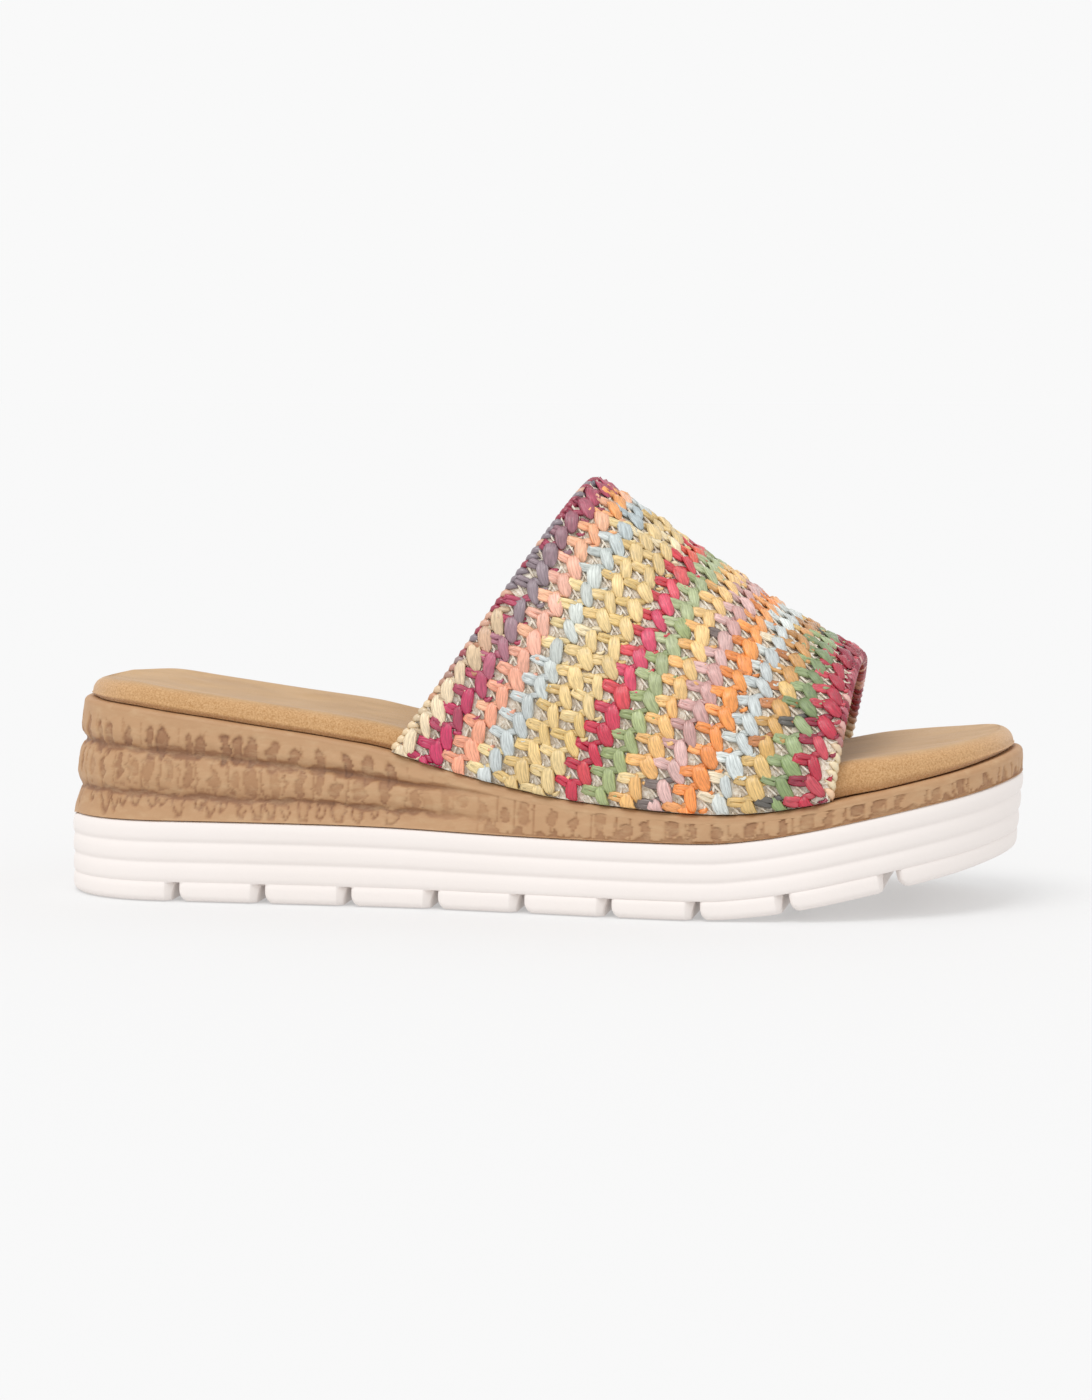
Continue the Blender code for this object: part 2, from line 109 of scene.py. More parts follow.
# Woven band
BAND_WALL = 0.0024
BAND_INSET = 0.0014
BAND_BACK = 0.0955
BAND_FRONT = 0.2137
BAND_FRONT_SETBACK = 0.0050
CREST_BACK = 0.1455
CREST_FRONT = 0.2180
CREST_BACK_HEIGHT = 0.1132
CREST_FRONT_HEIGHT = 0.0658
CREST_SHIFT = 0.0030
ARCH_POWER = 2.1
LEAN_POWER = 0.94
COLUMN_COUNT = 15
SEAT_GAP = 0.0003

# Rows: share along, share of the way from the heel's width to the ball's, sideways shift
PLAN = np.array([
    (0.00, 0.00, 0.000),
    (0.12, 0.00, 0.000),
    (0.25, 0.02, -0.008),
    (0.38, 0.09, -0.018),
    (0.50, 0.36, -0.026),
    (0.62, 0.80, -0.021),
    (0.70, 1.00, -0.008),
    (0.78, 1.00, 0.008),
    (0.86, 0.88, 0.029),
    (1.00, 0.68, 0.070),
])
SPREAD, SHIFT = 1, 2

# Rows: share along, and shares of the toe spring, the sole's thickness, the wedge's height and the pad's thickness
SIDE = np.array([
    (0.00, 0.00, 0.35, 1.042, -0.45),
    (0.02, 0.00, 1.00, 0.995, -0.25),
    (0.08, 0.00, 1.00, 0.950, 0.00),
    (0.15, 0.00, 1.00, 0.860, 0.00),
    (0.22, 0.00, 1.00, 0.760, 0.00),
    (0.30, 0.00, 0.95, 0.650, 0.00),
    (0.36, 0.00, 0.80, 0.540, 0.00),
    (0.40, 0.00, 0.60, 0.430, 0.00),
    (0.44, 0.00, 0.38, 0.335, 0.03),
    (0.49, 0.00, 0.18, 0.235, 0.10),
    (0.54, 0.00, 0.05, 0.150, 0.20),
    (0.60, 0.00, 0.00, 0.092, 0.36),
    (0.66, 0.00, 0.00, 0.050, 0.56),
    (0.70, 0.01, 0.00, 0.030, 0.70),
    (0.75, 0.09, 0.05, 0.008, 0.88),
    (0.80, 0.24, 0.10, 0.000, 1.00),
    (0.85, 0.42, 0.12, 0.000, 0.86),
    (0.90, 0.60, 0.15, 0.000, 0.50),
    (0.95, 0.78, 0.20, 0.003, 0.05),
    (1.00, 1.00, 0.25, 0.010, -0.45),
])
SPRING, SOLE, WEDGE, PAD = 1, 2, 3, 4

# Rows: share of the wedge's height, share of the groove's depth
ROLLS = np.array([
    (0.00, 0.00),
    (0.08, 0.25),
    (0.18, 0.65),
    (0.25, 1.00),
    (0.32, 0.45),
    (0.40, 0.08),
    (0.49, 0.00),
    (0.57, 0.15),
    (0.62, 0.50),
    (0.67, 1.00),
    (0.73, 0.40),
    (0.82, 0.00),
    (0.93, 0.10),
    (1.00, 0.15),
])
LOWER_GROOVE, UPPER_GROOVE = 0.25, 0.67

# Places of the bark's marks on the outer side, in millimetres from the heel tip: arches that hang over the upper groove,
# dents of the middle roll, creases that hang from the lower groove, and recesses of the forefoot
ARCHES = (2.2, 6.1, 11.1, 14.2, 21.1, 28.6, 32.2, 39.4, 42.8, 49.4, 52.8, 56.7, 62.8, 68.9, 75.8, 83.3, 88.9, 95.3)
DENTS = (4.5, 9.2, 13.0, 18.9, 23.5, 27.8, 34.4, 39.4, 46.7, 53.1, 57.2, 63.9, 70.6, 75.8, 80.6, 86.9, 93.9, 102.2, 110.6)
HOOKS = (
    3.9, 8.9, 13.9, 17.2, 20.6, 24.4, 28.9, 31.9, 37.2, 42.8, 45.6, 49.4, 54.4, 58.6, 62.2, 66.7, 71.7, 76.7, 81.7, 86.7,
    91.1, 96.1,
)
BAND_DENTS = (
    101.2, 105.6, 110.8, 115.3, 121.0, 127.2, 132.5, 140.3, 145.8, 153.1, 160.6, 165.3, 172.8, 177.8, 185.0, 193.3, 202.2,
    208.0, 213.9, 221.1, 226.5, 231.4, 241.1, 247.2, 253.6,
)

# Rows: share of the crest line, share of its run, share of its fall
CREST = np.array([
    (0.00, 0.00, 0.00),
    (0.25, 0.25, 0.26),
    (0.50, 0.50, 0.53),
    (0.75, 0.75, 0.79),
    (1.00, 1.00, 1.00),
])
RUN, FALL = 1, 2


def follow(rows, column, at):
    """A table's column at any place along it, on a cubic that never swings past its rows."""
    x, y = rows[:, 0], rows[:, column]
    step = np.diff(x)
    slope = np.diff(y) / step
    tangent = np.concatenate([slope[:1], np.zeros(len(y) - 2), slope[-1:]])
    both = slope[:-1] * slope[1:]
    rising = both > 0
    tangent[1:-1][rising] = 2 * both[rising] / (slope[:-1] + slope[1:])[rising]
    at = np.asarray(at, float)
    k = np.clip(np.searchsorted(x, at, side="right") - 1, 0, len(step) - 1)
    u = (at - x[k]) / step[k]
    start = y[k] * (1 + 2 * u) * (1 - u) ** 2 + tangent[k] * step[k] * u * (1 - u) ** 2
    end = y[k + 1] * u * u * (3 - 2 * u) + tangent[k + 1] * step[k] * u * u * (u - 1)
    return start + end


def smooth_step(at, start, end):
    share = np.clip((np.asarray(at, float) - start) / (end - start), 0, 1)
    return share * share * (3 - 2 * share)


def rounding(at):
    """How much of the full width is there: a superellipse at the heel and another at the toe."""
    heel = np.clip(1 - at * LENGTH / HEEL_ROUND, 0, 1)
    toe = np.clip(1 - (1 - at) * LENGTH / TOE_ROUND, 0, 1)
    return (1 - heel**HEEL_POWER) ** (1 / HEEL_POWER) * (1 - toe**TOE_POWER) ** (1 / TOE_POWER)


def edge_y(at, side):
    """The sole's edge at a share of the length: side -1 is the outer edge and +1 the inner one."""
    width = HEEL_WIDTH + (BALL_WIDTH - HEEL_WIDTH) * follow(PLAN, SPREAD, at)
    return BALL_WIDTH * follow(PLAN, SHIFT, at) + side * width / 2 * rounding(at)


def floor_height(at):
    return TOE_SPRING * follow(SIDE, SPRING, at)


def sole_thickness(at):
    return SOLE_AT_BALL + (SOLE_AT_HEEL - SOLE_AT_BALL) * follow(SIDE, SOLE, at)


def sole_top(at):
    return floor_height(at) + sole_thickness(at)


def wedge_height(at):
    return WEDGE_AT_FRONT + (WEDGE_AT_HEEL - WEDGE_AT_FRONT) * follow(SIDE, WEDGE, at)


def wedge_top(at):
    return sole_top(at) + SEAT_GAP + wedge_height(at)


def insole_thickness(at):
    return INSOLE_AT_HEEL + (INSOLE_AT_BALL - INSOLE_AT_HEEL) * follow(SIDE, PAD, at)


def wedge_edge_inset(at):
    """How far the wedge's top edge stands in from the outsole's, from heel to toe."""
    return WEDGE_HEEL_INSET + (WEDGE_TOE_INSET - WEDGE_HEEL_INSET) * smooth_step(at, 0.1, 0.9)


def band_ends(side):
    return BAND_BACK, BAND_FRONT - (BAND_FRONT_SETBACK if side > 0 else 0.0)


def insole_inset(at, side):
    """The insole stands further in where the band passes down beside it."""
    back, front = (end / LENGTH for end in band_ends(side))
    step = INSOLE_SEAT_STEP / LENGTH
    under = smooth_step(at, back - 1.5 * step, back - 0.5 * step)
    under = under * (1 - smooth_step(at, front + 0.5 * step, front + 1.5 * step))
    beside_band = BAND_INSET + BAND_WALL + INSOLE_CLEARANCE
    return wedge_edge_inset(at) + INSOLE_INSET + (beside_band - INSOLE_INSET) * under


SOLE_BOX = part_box("outsole")
CAD_STATIONS = 0.5 - 0.5 * np.cos(np.pi * np.arange(37) / 36)
PLACE = np.array([SOLE_BOX[0].x, SOLE_BOX[0].y - edge_y(CAD_STATIONS, -1).min(), 0.0])


def lattice(x, y, z, seed):
    """A fixed number from 0 to 1 for each whole-number point: the fraction of a large multiple of a sine."""
    value = np.sin(x * 127.1 + y * 311.7 + z * 74.7 + seed * 19.19) * 43758.5453
    return value - np.floor(value)


def noise(x, y, z=0.0, seed=0):
    """Smooth noise from -1 to 1: lattice numbers blended with smooth-stepped shares along each axis."""
    x, y, z = np.broadcast_arrays(np.asarray(x, float), np.asarray(y, float), np.asarray(z, float))
    fx, fy, fz = np.floor(x), np.floor(y), np.floor(z)
    sx, sy, sz = (s * s * (3 - 2 * s) for s in (x - fx, y - fy, z - fz))
    total = np.zeros(x.shape)
    for dx, dy, dz in np.ndindex(2, 2, 2):
        share = (sx if dx else 1 - sx) * (sy if dy else 1 - sy) * (sz if dz else 1 - sz)
        total += share * lattice(fx + dx, fy + dy, fz + dz, seed)
    return 2 * total - 1


def linear(code):
    """An sRGB hex colour such as "d8c9a8" turned to linear red, green and blue."""
    value = np.array([int(code[k : k + 2], 16) for k in (0, 2, 4)]) / 255
    return tuple(np.where(value <= 0.04045, value / 12.92, ((value + 0.055) / 1.055) ** 2.4))


def put_mesh(name, points, quads, slot, materials, stands_for=(), smooth_degrees=45, **data):
    """A finished piece: its mesh, its attributes, its place on the root body and its material slot. The slot argument
    is not used.

    A quad that names one corner twice becomes a triangle. A one-column value is stored as a number per point, a
    two-column one as a UV map, and a three-column one as a colour."""
    quads = np.asarray(quads)
    twice = quads == np.roll(quads, -1, axis=1)
    flat = twice.any(axis=1)
    fours, threes = quads[~flat], quads[flat][~twice[flat]].reshape(-1, 3)
    corners = np.concatenate([fours.ravel(), threes.ravel()]).astype(np.int32)
    starts = np.concatenate([np.arange(len(fours)) * 4, 4 * len(fours) + np.arange(len(threes)) * 3])
    mesh = bpy.data.meshes.new(name)
    mesh.vertices.add(len(points))
    mesh.vertices.foreach_set("co", np.asarray(points, np.float32).ravel())
    mesh.loops.add(len(corners))
    mesh.loops.foreach_set("vertex_index", corners)
    mesh.polygons.add(len(starts))
    mesh.polygons.foreach_set("loop_start", starts.astype(np.int32))
    mesh.update(calc_edges=True)
    for key, value in data.items():
        value = np.asarray(value, np.float32)
        if value.ndim == 1:
            mesh.attributes.new(key, "FLOAT", "POINT").data.foreach_set("value", value)
        elif value.shape[1] == 2:
            mesh.uv_layers.new(name=key).data.foreach_set("uv", value[corners].ravel())
        else:
            colour = np.column_stack([value, np.ones(len(value), np.float32)])
            mesh.attributes.new(key, "FLOAT_COLOR", "POINT").data.foreach_set("color", colour.ravel())
    for material in materials:
        mesh.materials.append(material)
    mesh.shade_smooth()
    if smooth_degrees < 180:
        mesh.set_sharp_from_angle(angle=math.radians(smooth_degrees))
    if mesh.validate():
        raise RuntimeError(f"{name} has broken faces")
    piece = bpy.data.objects.new(name, mesh)
    bpy.context.scene.collection.objects.link(piece)
    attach(piece, "root")
    if stands_for:
        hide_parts(*stands_for)
    return piece


def around(at):
    """Closes stations from heel to toe into a loop: out along the outer edge and back along the inner one."""
    shares = np.concatenate([at, at[-2:0:-1]])
    sides = np.where(np.arange(len(shares)) < len(at), -1.0, 1.0)
    return shares, sides


def rim_rings(shares, sides, inset, height):
    """Rows of points: the sole's outline at each share, moved in along its plan normal by an inset, at a height.
    The normal is a quarter turn of the line between a point's two neighbours. All arrays are rings by places."""
    shares, inset, height = np.broadcast_arrays(shares, inset, height)
    edge = np.stack([shares * LENGTH, edge_y(shares, sides)], axis=-1)
    along = np.roll(edge, -1, axis=-2) - np.roll(edge, 1, axis=-2)
    along /= np.linalg.norm(along, axis=-1, keepdims=True)
    outward = np.stack([along[..., 1], -along[..., 0]], axis=-1)
    plan = edge - outward * inset[..., None]
    return np.concatenate([plan, height[..., None]], axis=-1) + PLACE


def tube_quads(rings, count):
    """Quads between a stack of closed rings of count points each, the first ring lowest."""
    k, j = np.meshgrid(np.arange(rings - 1), np.arange(count), indexing="ij")
    nxt = (j + 1) % count
    return np.stack([k * count + j, k * count + nxt, (k + 1) * count + nxt, (k + 1) * count + j], -1).reshape(-1, 4)


def cap_quads(start, count, upwards):
    """Strips across a ring, from each outer point to the inner point of its station."""
    j = np.arange(count // 2)
    quads = np.stack([j, j + 1, (count - j - 1) % count, (count - j) % count], axis=1) + start
    return quads if upwards else quads[:, ::-1]


def grid_quads(start, columns, rows, upwards=True):
    """Quads of a grid of (columns + 1) by (rows + 1) points stored row by row."""
    i, j = np.meshgrid(np.arange(columns), np.arange(rows), indexing="ij")
    a = start + i * (rows + 1) + j
    quads = np.stack([a, a + rows + 1, a + rows + 2, a + 1], axis=-1).reshape(-1, 4)
    return quads if upwards else quads[:, ::-1]


def add_node(tree, kind, settings=None, **links):
    """Adds a node, sets its properties and sockets from settings, and links its inputs.

    A key in settings is a property's name or a socket's name; a link is socket_name=(node, output name)."""
    node = tree.nodes.new(kind)
    for key, value in (settings or {}).items():
        if hasattr(node, key):
            setattr(node, key, value)
        else:
            socket = node.inputs[key]
            wide = hasattr(socket.default_value, "__len__") and len(socket.default_value) == 4
            socket.default_value = (*value, 1.0) if wide and len(value) == 3 else value
    for key, (source, output) in links.items():
        wanted = [s for s in node.inputs if s.enabled and s.name.replace(" ", "_") == key]
        tree.links.new(source.outputs[output], wanted[0])
    return node


def blend_colours(tree, share, first, second):
    """Mixes two colours, each a linear colour or a (node, output), by a (node, output) share."""
    settings = {"data_type": "RGBA"}
    node = add_node(tree, "ShaderNodeMix", settings)
    tree.links.new(share[0].outputs[share[1]], node.inputs[0])
    for index, value in ((6, first), (7, second)):
        if isinstance(value[0], bpy.types.Node):
            tree.links.new(value[0].outputs[value[1]], node.inputs[index])
        else:
            node.inputs[index].default_value = (*value[:3], 1.0)
    return node


def new_material(name, roughness, **sockets):
    """A material with one Principled shader; sockets are constants set on it."""
    material = bpy.data.materials.new(name)
    material.use_nodes = True
    tree = material.node_tree
    shader = tree.nodes["Principled BSDF"]
    shader.inputs["Roughness"].default_value = roughness
    for key, value in sockets.items():
        shader.inputs[key.replace("_", " ")].default_value = value
    return material, tree, shader


def foam_rubber(colours):
    """White moulded EVA foam rubber: matt, a little uneven from the mould, faintly greyer in broad patches."""
    material, tree, shader = new_material("white moulded foam rubber", 0.62)
    place = add_node(tree, "ShaderNodeTexCoord")
    broad = add_node(tree, "ShaderNodeTexNoise", {"Scale": 22.0, "Detail": 3.0}, Vector=(place, "Object"))
    tint = blend_colours(tree, (broad, "Fac"), colours.sole_shade, colours.sole_white)
    tree.links.new(tint.outputs[2], shader.inputs["Base Color"])
    # Mould grain about 0.6 mm across
    grain = add_node(tree, "ShaderNodeTexNoise", {"Scale": 1600.0, "Detail": 2.0}, Vector=(place, "Object"))
    bump = add_node(tree, "ShaderNodeBump", {"Strength": 0.12, "Distance": 0.0002}, Height=(grain, "Fac"))
    tree.links.new(bump.outputs["Normal"], shader.inputs["Normal"])
    return material


def bark_foam(colours):
    """Brown foam moulded with a bark relief: matt, with painted shade that makes it darker and redder in its dents,
    creases and grooves, and painted highlights in lighter streaks.
    """
    material, tree, shader = new_material("bark embossed foam", 0.6)
    place = add_node(tree, "ShaderNodeTexCoord")
    # Painted shade: a per-point share of how deep each place lies turns the bark from its roll colour through its base
    # and dent colours to its crease colour
    recess = add_node(tree, "ShaderNodeAttribute", {"attribute_name": "recess"})
    ramp = add_node(tree, "ShaderNodeValToRGB", Fac=(recess, "Fac"))
    ramp.color_ramp.elements[0].color = (*colours.bark_light, 1)
    ramp.color_ramp.elements[1].color = (*colours.bark_crease_shade, 1)
    for stop, colour in ((0.22, colours.bark_base), (0.62, colours.bark_recess)):
        element = ramp.color_ramp.elements.new(stop)
        element.color = (*colour, 1)
    # Painted highlights: lighter streaks 3 to 6 mm long that run along the sole
    stretch = add_node(tree, "ShaderNodeMapping", {"Scale": (160.0, 160.0, 420.0)}, Vector=(place, "Object"))
    streak = add_node(tree, "ShaderNodeTexNoise", {"Scale": 1.0, "Detail": 5.0, "Roughness": 0.62}, Vector=(stretch, "Vector"))
    painted_highlight = add_node(
        tree, "ShaderNodeMapRange", {"From Min": 0.48, "From Max": 0.72, "To Max": 0.55}, Value=(streak, "Fac")
    )
    light = blend_colours(tree, (painted_highlight, "Result"), (ramp, "Color"), colours.bark_highlight)
    tree.links.new(light.outputs[2], shader.inputs["Base Color"])
    grain = add_node(tree, "ShaderNodeTexNoise", {"Scale": 1100.0, "Detail": 4.0}, Vector=(place, "Object"))
    bump = add_node(tree, "ShaderNodeBump", {"Strength": 0.25, "Distance": 0.0003}, Height=(grain, "Fac"))
    tree.links.new(bump.outputs["Normal"], shader.inputs["Normal"])
    return material


def suede(colours):
    """Tan split suede: a short nap with no gloss, light and dark grains 0.4 mm across, paler on its side wall."""
    material, tree, shader = new_material(
        "tan suede", 0.95, Sheen_Weight=0.35, Sheen_Roughness=0.5, Specular_IOR_Level=0.15
    )
    place = add_node(tree, "ShaderNodeTexCoord")
    wall = add_node(tree, "ShaderNodeAttribute", {"attribute_name": "wall"})
    grain = add_node(
        tree, "ShaderNodeTexNoise", {"Scale": 2200.0, "Detail": 3.0, "Roughness": 0.7}, Vector=(place, "Object")
    )
    contrast = add_node(tree, "ShaderNodeMapRange", {"From Min": 0.36, "From Max": 0.64}, Value=(grain, "Fac"))
    side = blend_colours(tree, (contrast, "Result"), colours.suede_side_dark, colours.suede_side_light)
    # Brushed patches of nap that lie one way or the other, 6 to 20 mm across
    stretch = add_node(tree, "ShaderNodeMapping", {"Scale": (60.0, 160.0, 160.0)}, Vector=(place, "Object"))
    patches = add_node(tree, "ShaderNodeTexNoise", {"Scale": 1.0, "Detail": 5.0, "Roughness": 0.6}, Vector=(stretch, "Vector"))
    soft = add_node(tree, "ShaderNodeMapRange", {"From Min": 0.35, "From Max": 0.65}, Value=(patches, "Fac"))
    brushed = blend_colours(tree, (soft, "Result"), colours.suede_top_dark, colours.suede_top_light)
    fleck = add_node(tree, "ShaderNodeMapRange", {"From Min": 0.3, "From Max": 0.7, "To Max": 0.3}, Value=(grain, "Fac"))
    top = blend_colours(tree, (fleck, "Result"), (brushed, 2), colours.suede_side_light)
    both = blend_colours(tree, (wall, "Fac"), (top, 2), (side, 2))
    tree.links.new(both.outputs[2], shader.inputs["Base Color"])
    bump = add_node(tree, "ShaderNodeBump", {"Strength": 0.5, "Distance": 0.0004}, Height=(grain, "Fac"))
    tree.links.new(bump.outputs["Normal"], shader.inputs["Normal"])
    return material


def raffia(colours):
    """Dyed paper raffia: flat folded strips with long fibres, a soft wax gloss, paler along their raised fibres."""
    material, tree, shader = new_material("dyed raffia strips", 0.26, Specular_IOR_Level=0.75)
    # Per-point colour: each strip's dye, with painted shade towards the stitches' strip ends and along their necks
    dye = add_node(tree, "ShaderNodeAttribute", {"attribute_name": "dye"})
    fibre_map = add_node(tree, "ShaderNodeUVMap", {"uv_map": "fibre"})
    # The UV map is in millimetres across and along the strip: fibres are about 0.35 mm wide and 4 mm long
    stretch = add_node(tree, "ShaderNodeMapping", {"Scale": (2.6, 0.28, 1.0)}, Vector=(fibre_map, "UV"))
    fibres = add_node(
        tree, "ShaderNodeTexNoise", {"Scale": 1.0, "Detail": 3.0, "Roughness": 0.6, "Distortion": 0.3}, Vector=(stretch, "Vector")
    )
    streak = add_node(tree, "ShaderNodeMapRange", {"From Min": 0.3, "From Max": 0.7, "To Min": 0.68, "To Max": 1.36}, Value=(fibres, "Fac"))
    tone = add_node(tree, "ShaderNodeVectorMath", {"operation": "SCALE"})
    tree.links.new(dye.outputs["Color"], tone.inputs[0])
    tree.links.new(streak.outputs["Result"], tone.inputs["Scale"])
    tree.links.new(tone.outputs[0], shader.inputs["Base Color"])
    bump = add_node(tree, "ShaderNodeBump", {"Strength": 0.7, "Distance": 0.0004}, Height=(fibres, "Fac"))
    tree.links.new(bump.outputs["Normal"], shader.inputs["Normal"])
    return material


def linen_yarn(colours, name, coarse):
    """Natural linen: matt spun yarn, beige with grey and pale slubs. coarse is the slubs' scale per metre."""
    material, tree, shader = new_material(name, 0.9, Specular_IOR_Level=0.25)
    place = add_node(tree, "ShaderNodeTexCoord")
    slubs = add_node(tree, "ShaderNodeTexNoise", {"Scale": coarse, "Detail": 4.0, "Roughness": 0.7}, Vector=(place, "Object"))
    ramp = add_node(tree, "ShaderNodeValToRGB", Fac=(slubs, "Fac"))
    ramp.color_ramp.elements[0].position = 0.36
    ramp.color_ramp.elements[0].color = (*colours.linen_dark, 1)
    ramp.color_ramp.elements[1].position = 0.62
    ramp.color_ramp.elements[1].color = (*colours.linen_light, 1)
    middle = ramp.color_ramp.elements.new(0.47)
    middle.color = (*colours.linen_base, 1)
    tree.links.new(ramp.outputs["Color"], shader.inputs["Base Color"])
    bump = add_node(tree, "ShaderNodeBump", {"Strength": 0.8, "Distance": 0.0005}, Height=(slubs, "Fac"))
    tree.links.new(bump.outputs["Normal"], shader.inputs["Normal"])
    return material


def lining_cloth(colours):
    """Plain woven cotton lining inside the band: matt beige with a fine square weave of 0.8 mm threads."""
    material, tree, shader = new_material("cotton lining", 0.9, Specular_IOR_Level=0.2)
    weave_map = add_node(tree, "ShaderNodeUVMap", {"uv_map": "cloth"})
    brick = add_node(
        tree,
        "ShaderNodeTexBrick",
        {
            "Color1": colours.lining,
            "Color2": colours.lining,
            "Mortar": colours.linen_dark,
            "Scale": 1.0,
            "Mortar Size": 0.09,
            "Mortar Smooth": 1.0,
            "Brick Width": 0.8,
            "Row Height": 0.5,
        },
        Vector=(weave_map, "UV"),
    )
    tree.links.new(brick.outputs["Color"], shader.inputs["Base Color"])
    bump = add_node(tree, "ShaderNodeBump", {"Strength": 0.6, "Distance": 0.0003, "invert": True}, Height=(brick, "Fac"))
    tree.links.new(bump.outputs["Normal"], shader.inputs["Normal"])
    return material


def gap_places():
    """(distance from the heel, width) of each gap between two lugs."""
    places = [(FIRST_GAP_FROM_HEEL + k * LUG_PITCH, GAP_WIDTH) for k in range(LUG_COUNT - 1)]
    return places + [(TOE_LUG_FROM_HEEL, TOE_GAP_WIDTH)]


def lug_stations():
    """Places along the sole: cosine spaced, but close together at the walls and rounded corners of each gap."""
    base = LENGTH * (0.5 - 0.5 * np.cos(np.pi * np.arange(191) / 190))
    lean = np.array([-4.2, -3.4, -2.85, -2.6, -2.45, -2.1, -1.6, -1.2, -1.05, -0.9, -0.6, -0.3, -0.08, 0.06]) * MM
    turn = np.sin(np.linspace(0, math.pi / 2, 9))
    corner = np.concatenate([
        np.array([-0.25, -0.04, 0.02, 0.06]) * MM,
        LUG_REAR_ROUND * (1 - turn[-2::-1]),
        LUG_REAR_ROUND + np.array([0.35, 0.8, 1.3, 1.9]) * MM,
    ])
    kept = np.ones(len(base), bool)
    extra = []
    for place, width in gap_places():
        low = place - width / 2 - 4.4 * LUG_FRONT_CUT
        high = place + width / 2 + LUG_REAR_ROUND + 2.1 * MM
        kept &= (base < low) | (base > high)
        face = place - width / 2 + LUG_FACE
        extra += [face + lean, 0.5 * (face + place + width / 2) + np.array([-0.2, 0.2]) * MM, place + width / 2 + corner]
    return np.sort(np.concatenate([base[kept]] + extra)) / LENGTH


def gap_shape(x, corner_round):
    """(ceiling height over the lugs' floor line, extra inset) at distances along the sole.

    The height is 0 on a lug. Behind each gap the lug's front corner leans, and its end face slants across the gap's
    mouth: the extra inset grows one for one with the distance. In front of the gap the next lug's rear corner is a
    quarter circle, upright and in plan."""
    height, extra = np.zeros_like(x), np.zeros_like(x)
    for place, width in gap_places():
        d = x - place
        face = LUG_FACE - width / 2
        lean = np.clip((d - face + LUG_FRONT_CUT) / LUG_FRONT_CUT, 0, 1) * LUG_HEIGHT
        t = np.clip((d - width / 2) / LUG_REAR_ROUND, 0, 1)
        rounded = LUG_REAR_ROUND * (1 - np.sqrt(1 - (1 - t) ** 2))
        height = np.maximum(height, np.where(d <= width / 2, lean * (d > -width), rounded * (d < width)))
        near = np.clip(1 - np.clip(d - width / 2, 0, None) / corner_round, 0, 1)
        slant = np.clip(d + width / 2, 0, LUG_FACE)
        extra = np.maximum(extra, np.where(d > face, corner_round * (1 - np.sqrt(1 - near**2)), slant))
    return height, extra


def rib_insets(sizes):
    """(inset, share of the sole's height) up the ribs: each steps out sharply at its foot and rolls in to its top."""
    lug_share = LUG_HEIGHT / SOLE_AT_BALL
    pitch = (1 - lug_share) / RIB_COUNT
    local = np.array([0.0, 0.05, 0.12, 0.2, 0.32, 0.44, 0.55, 0.66, 0.76, 0.85, 0.93, 1.0])
    foot = np.clip(1 - local / 0.3, 0, 1) ** 2
    roll = np.clip((local - 0.5) / 0.5, 0, 1) ** 2
    inset = sizes.rib_depth * (0.8 * foot + roll)
    rows = [(inset[:-1], lug_share + (rib + local[:-1]) * pitch) for rib in range(RIB_COUNT)]
    insets = np.concatenate([row[0] for row in rows] + [inset[-1:], inset[-1:] + 0.35 * MM])
    return insets, np.concatenate([row[1] for row in rows] + [[0.992, 1.0]])


class SandalSizes(bpy.types.PropertyGroup):
    """Sizes of the looks that the solids don't hold."""

    rib_depth: FloatProperty(
        name="Rib depth", description="How far a rib's top rolls in", default=0.00056, unit="LENGTH"
    )
    lug_corner: FloatProperty(
        name="Lug corner", description="Radius of the lugs' upright corners", default=0.0013, unit="LENGTH"
    )
    bark_depth: FloatProperty(
        name="Bark depth", description="Depth of the bark's dents and creases", default=0.0008, unit="LENGTH"
    )
    nap_depth: FloatProperty(
        name="Nap unevenness", description="How uneven the suede's surface is", default=0.00022, unit="LENGTH"
    )
    stitch_pitch: FloatProperty(
        name="Stitch pitch", description="Distance between two stitches of a column", default=0.0056, unit="LENGTH"
    )
    tongue_width: FloatProperty(
        name="Strip width", description="Width of a raffia strip where it lies on top", default=0.0035, unit="LENGTH"
    )
    strip_rise: FloatProperty(
        name="Strip rise", description="How high a raffia strip stands over the linen", default=0.0012, unit="LENGTH"
    )
    yarn_width: FloatProperty(
        name="Yarn width", description="Diameter of the thin linen yarn", default=0.00075, unit="LENGTH"
    )
    rim_pitch: FloatProperty(
        name="Edge strand pitch", description="Distance between two strands over the band's edge", default=0.0024, unit="LENGTH"
    )


def colour_property(name, description, code):
    """A colour that a user may change, with its default as an sRGB hex code."""
    return FloatVectorProperty(
        name=name, description=description, default=linear(code), subtype="COLOR", size=3, min=0.0, max=1.0
    )


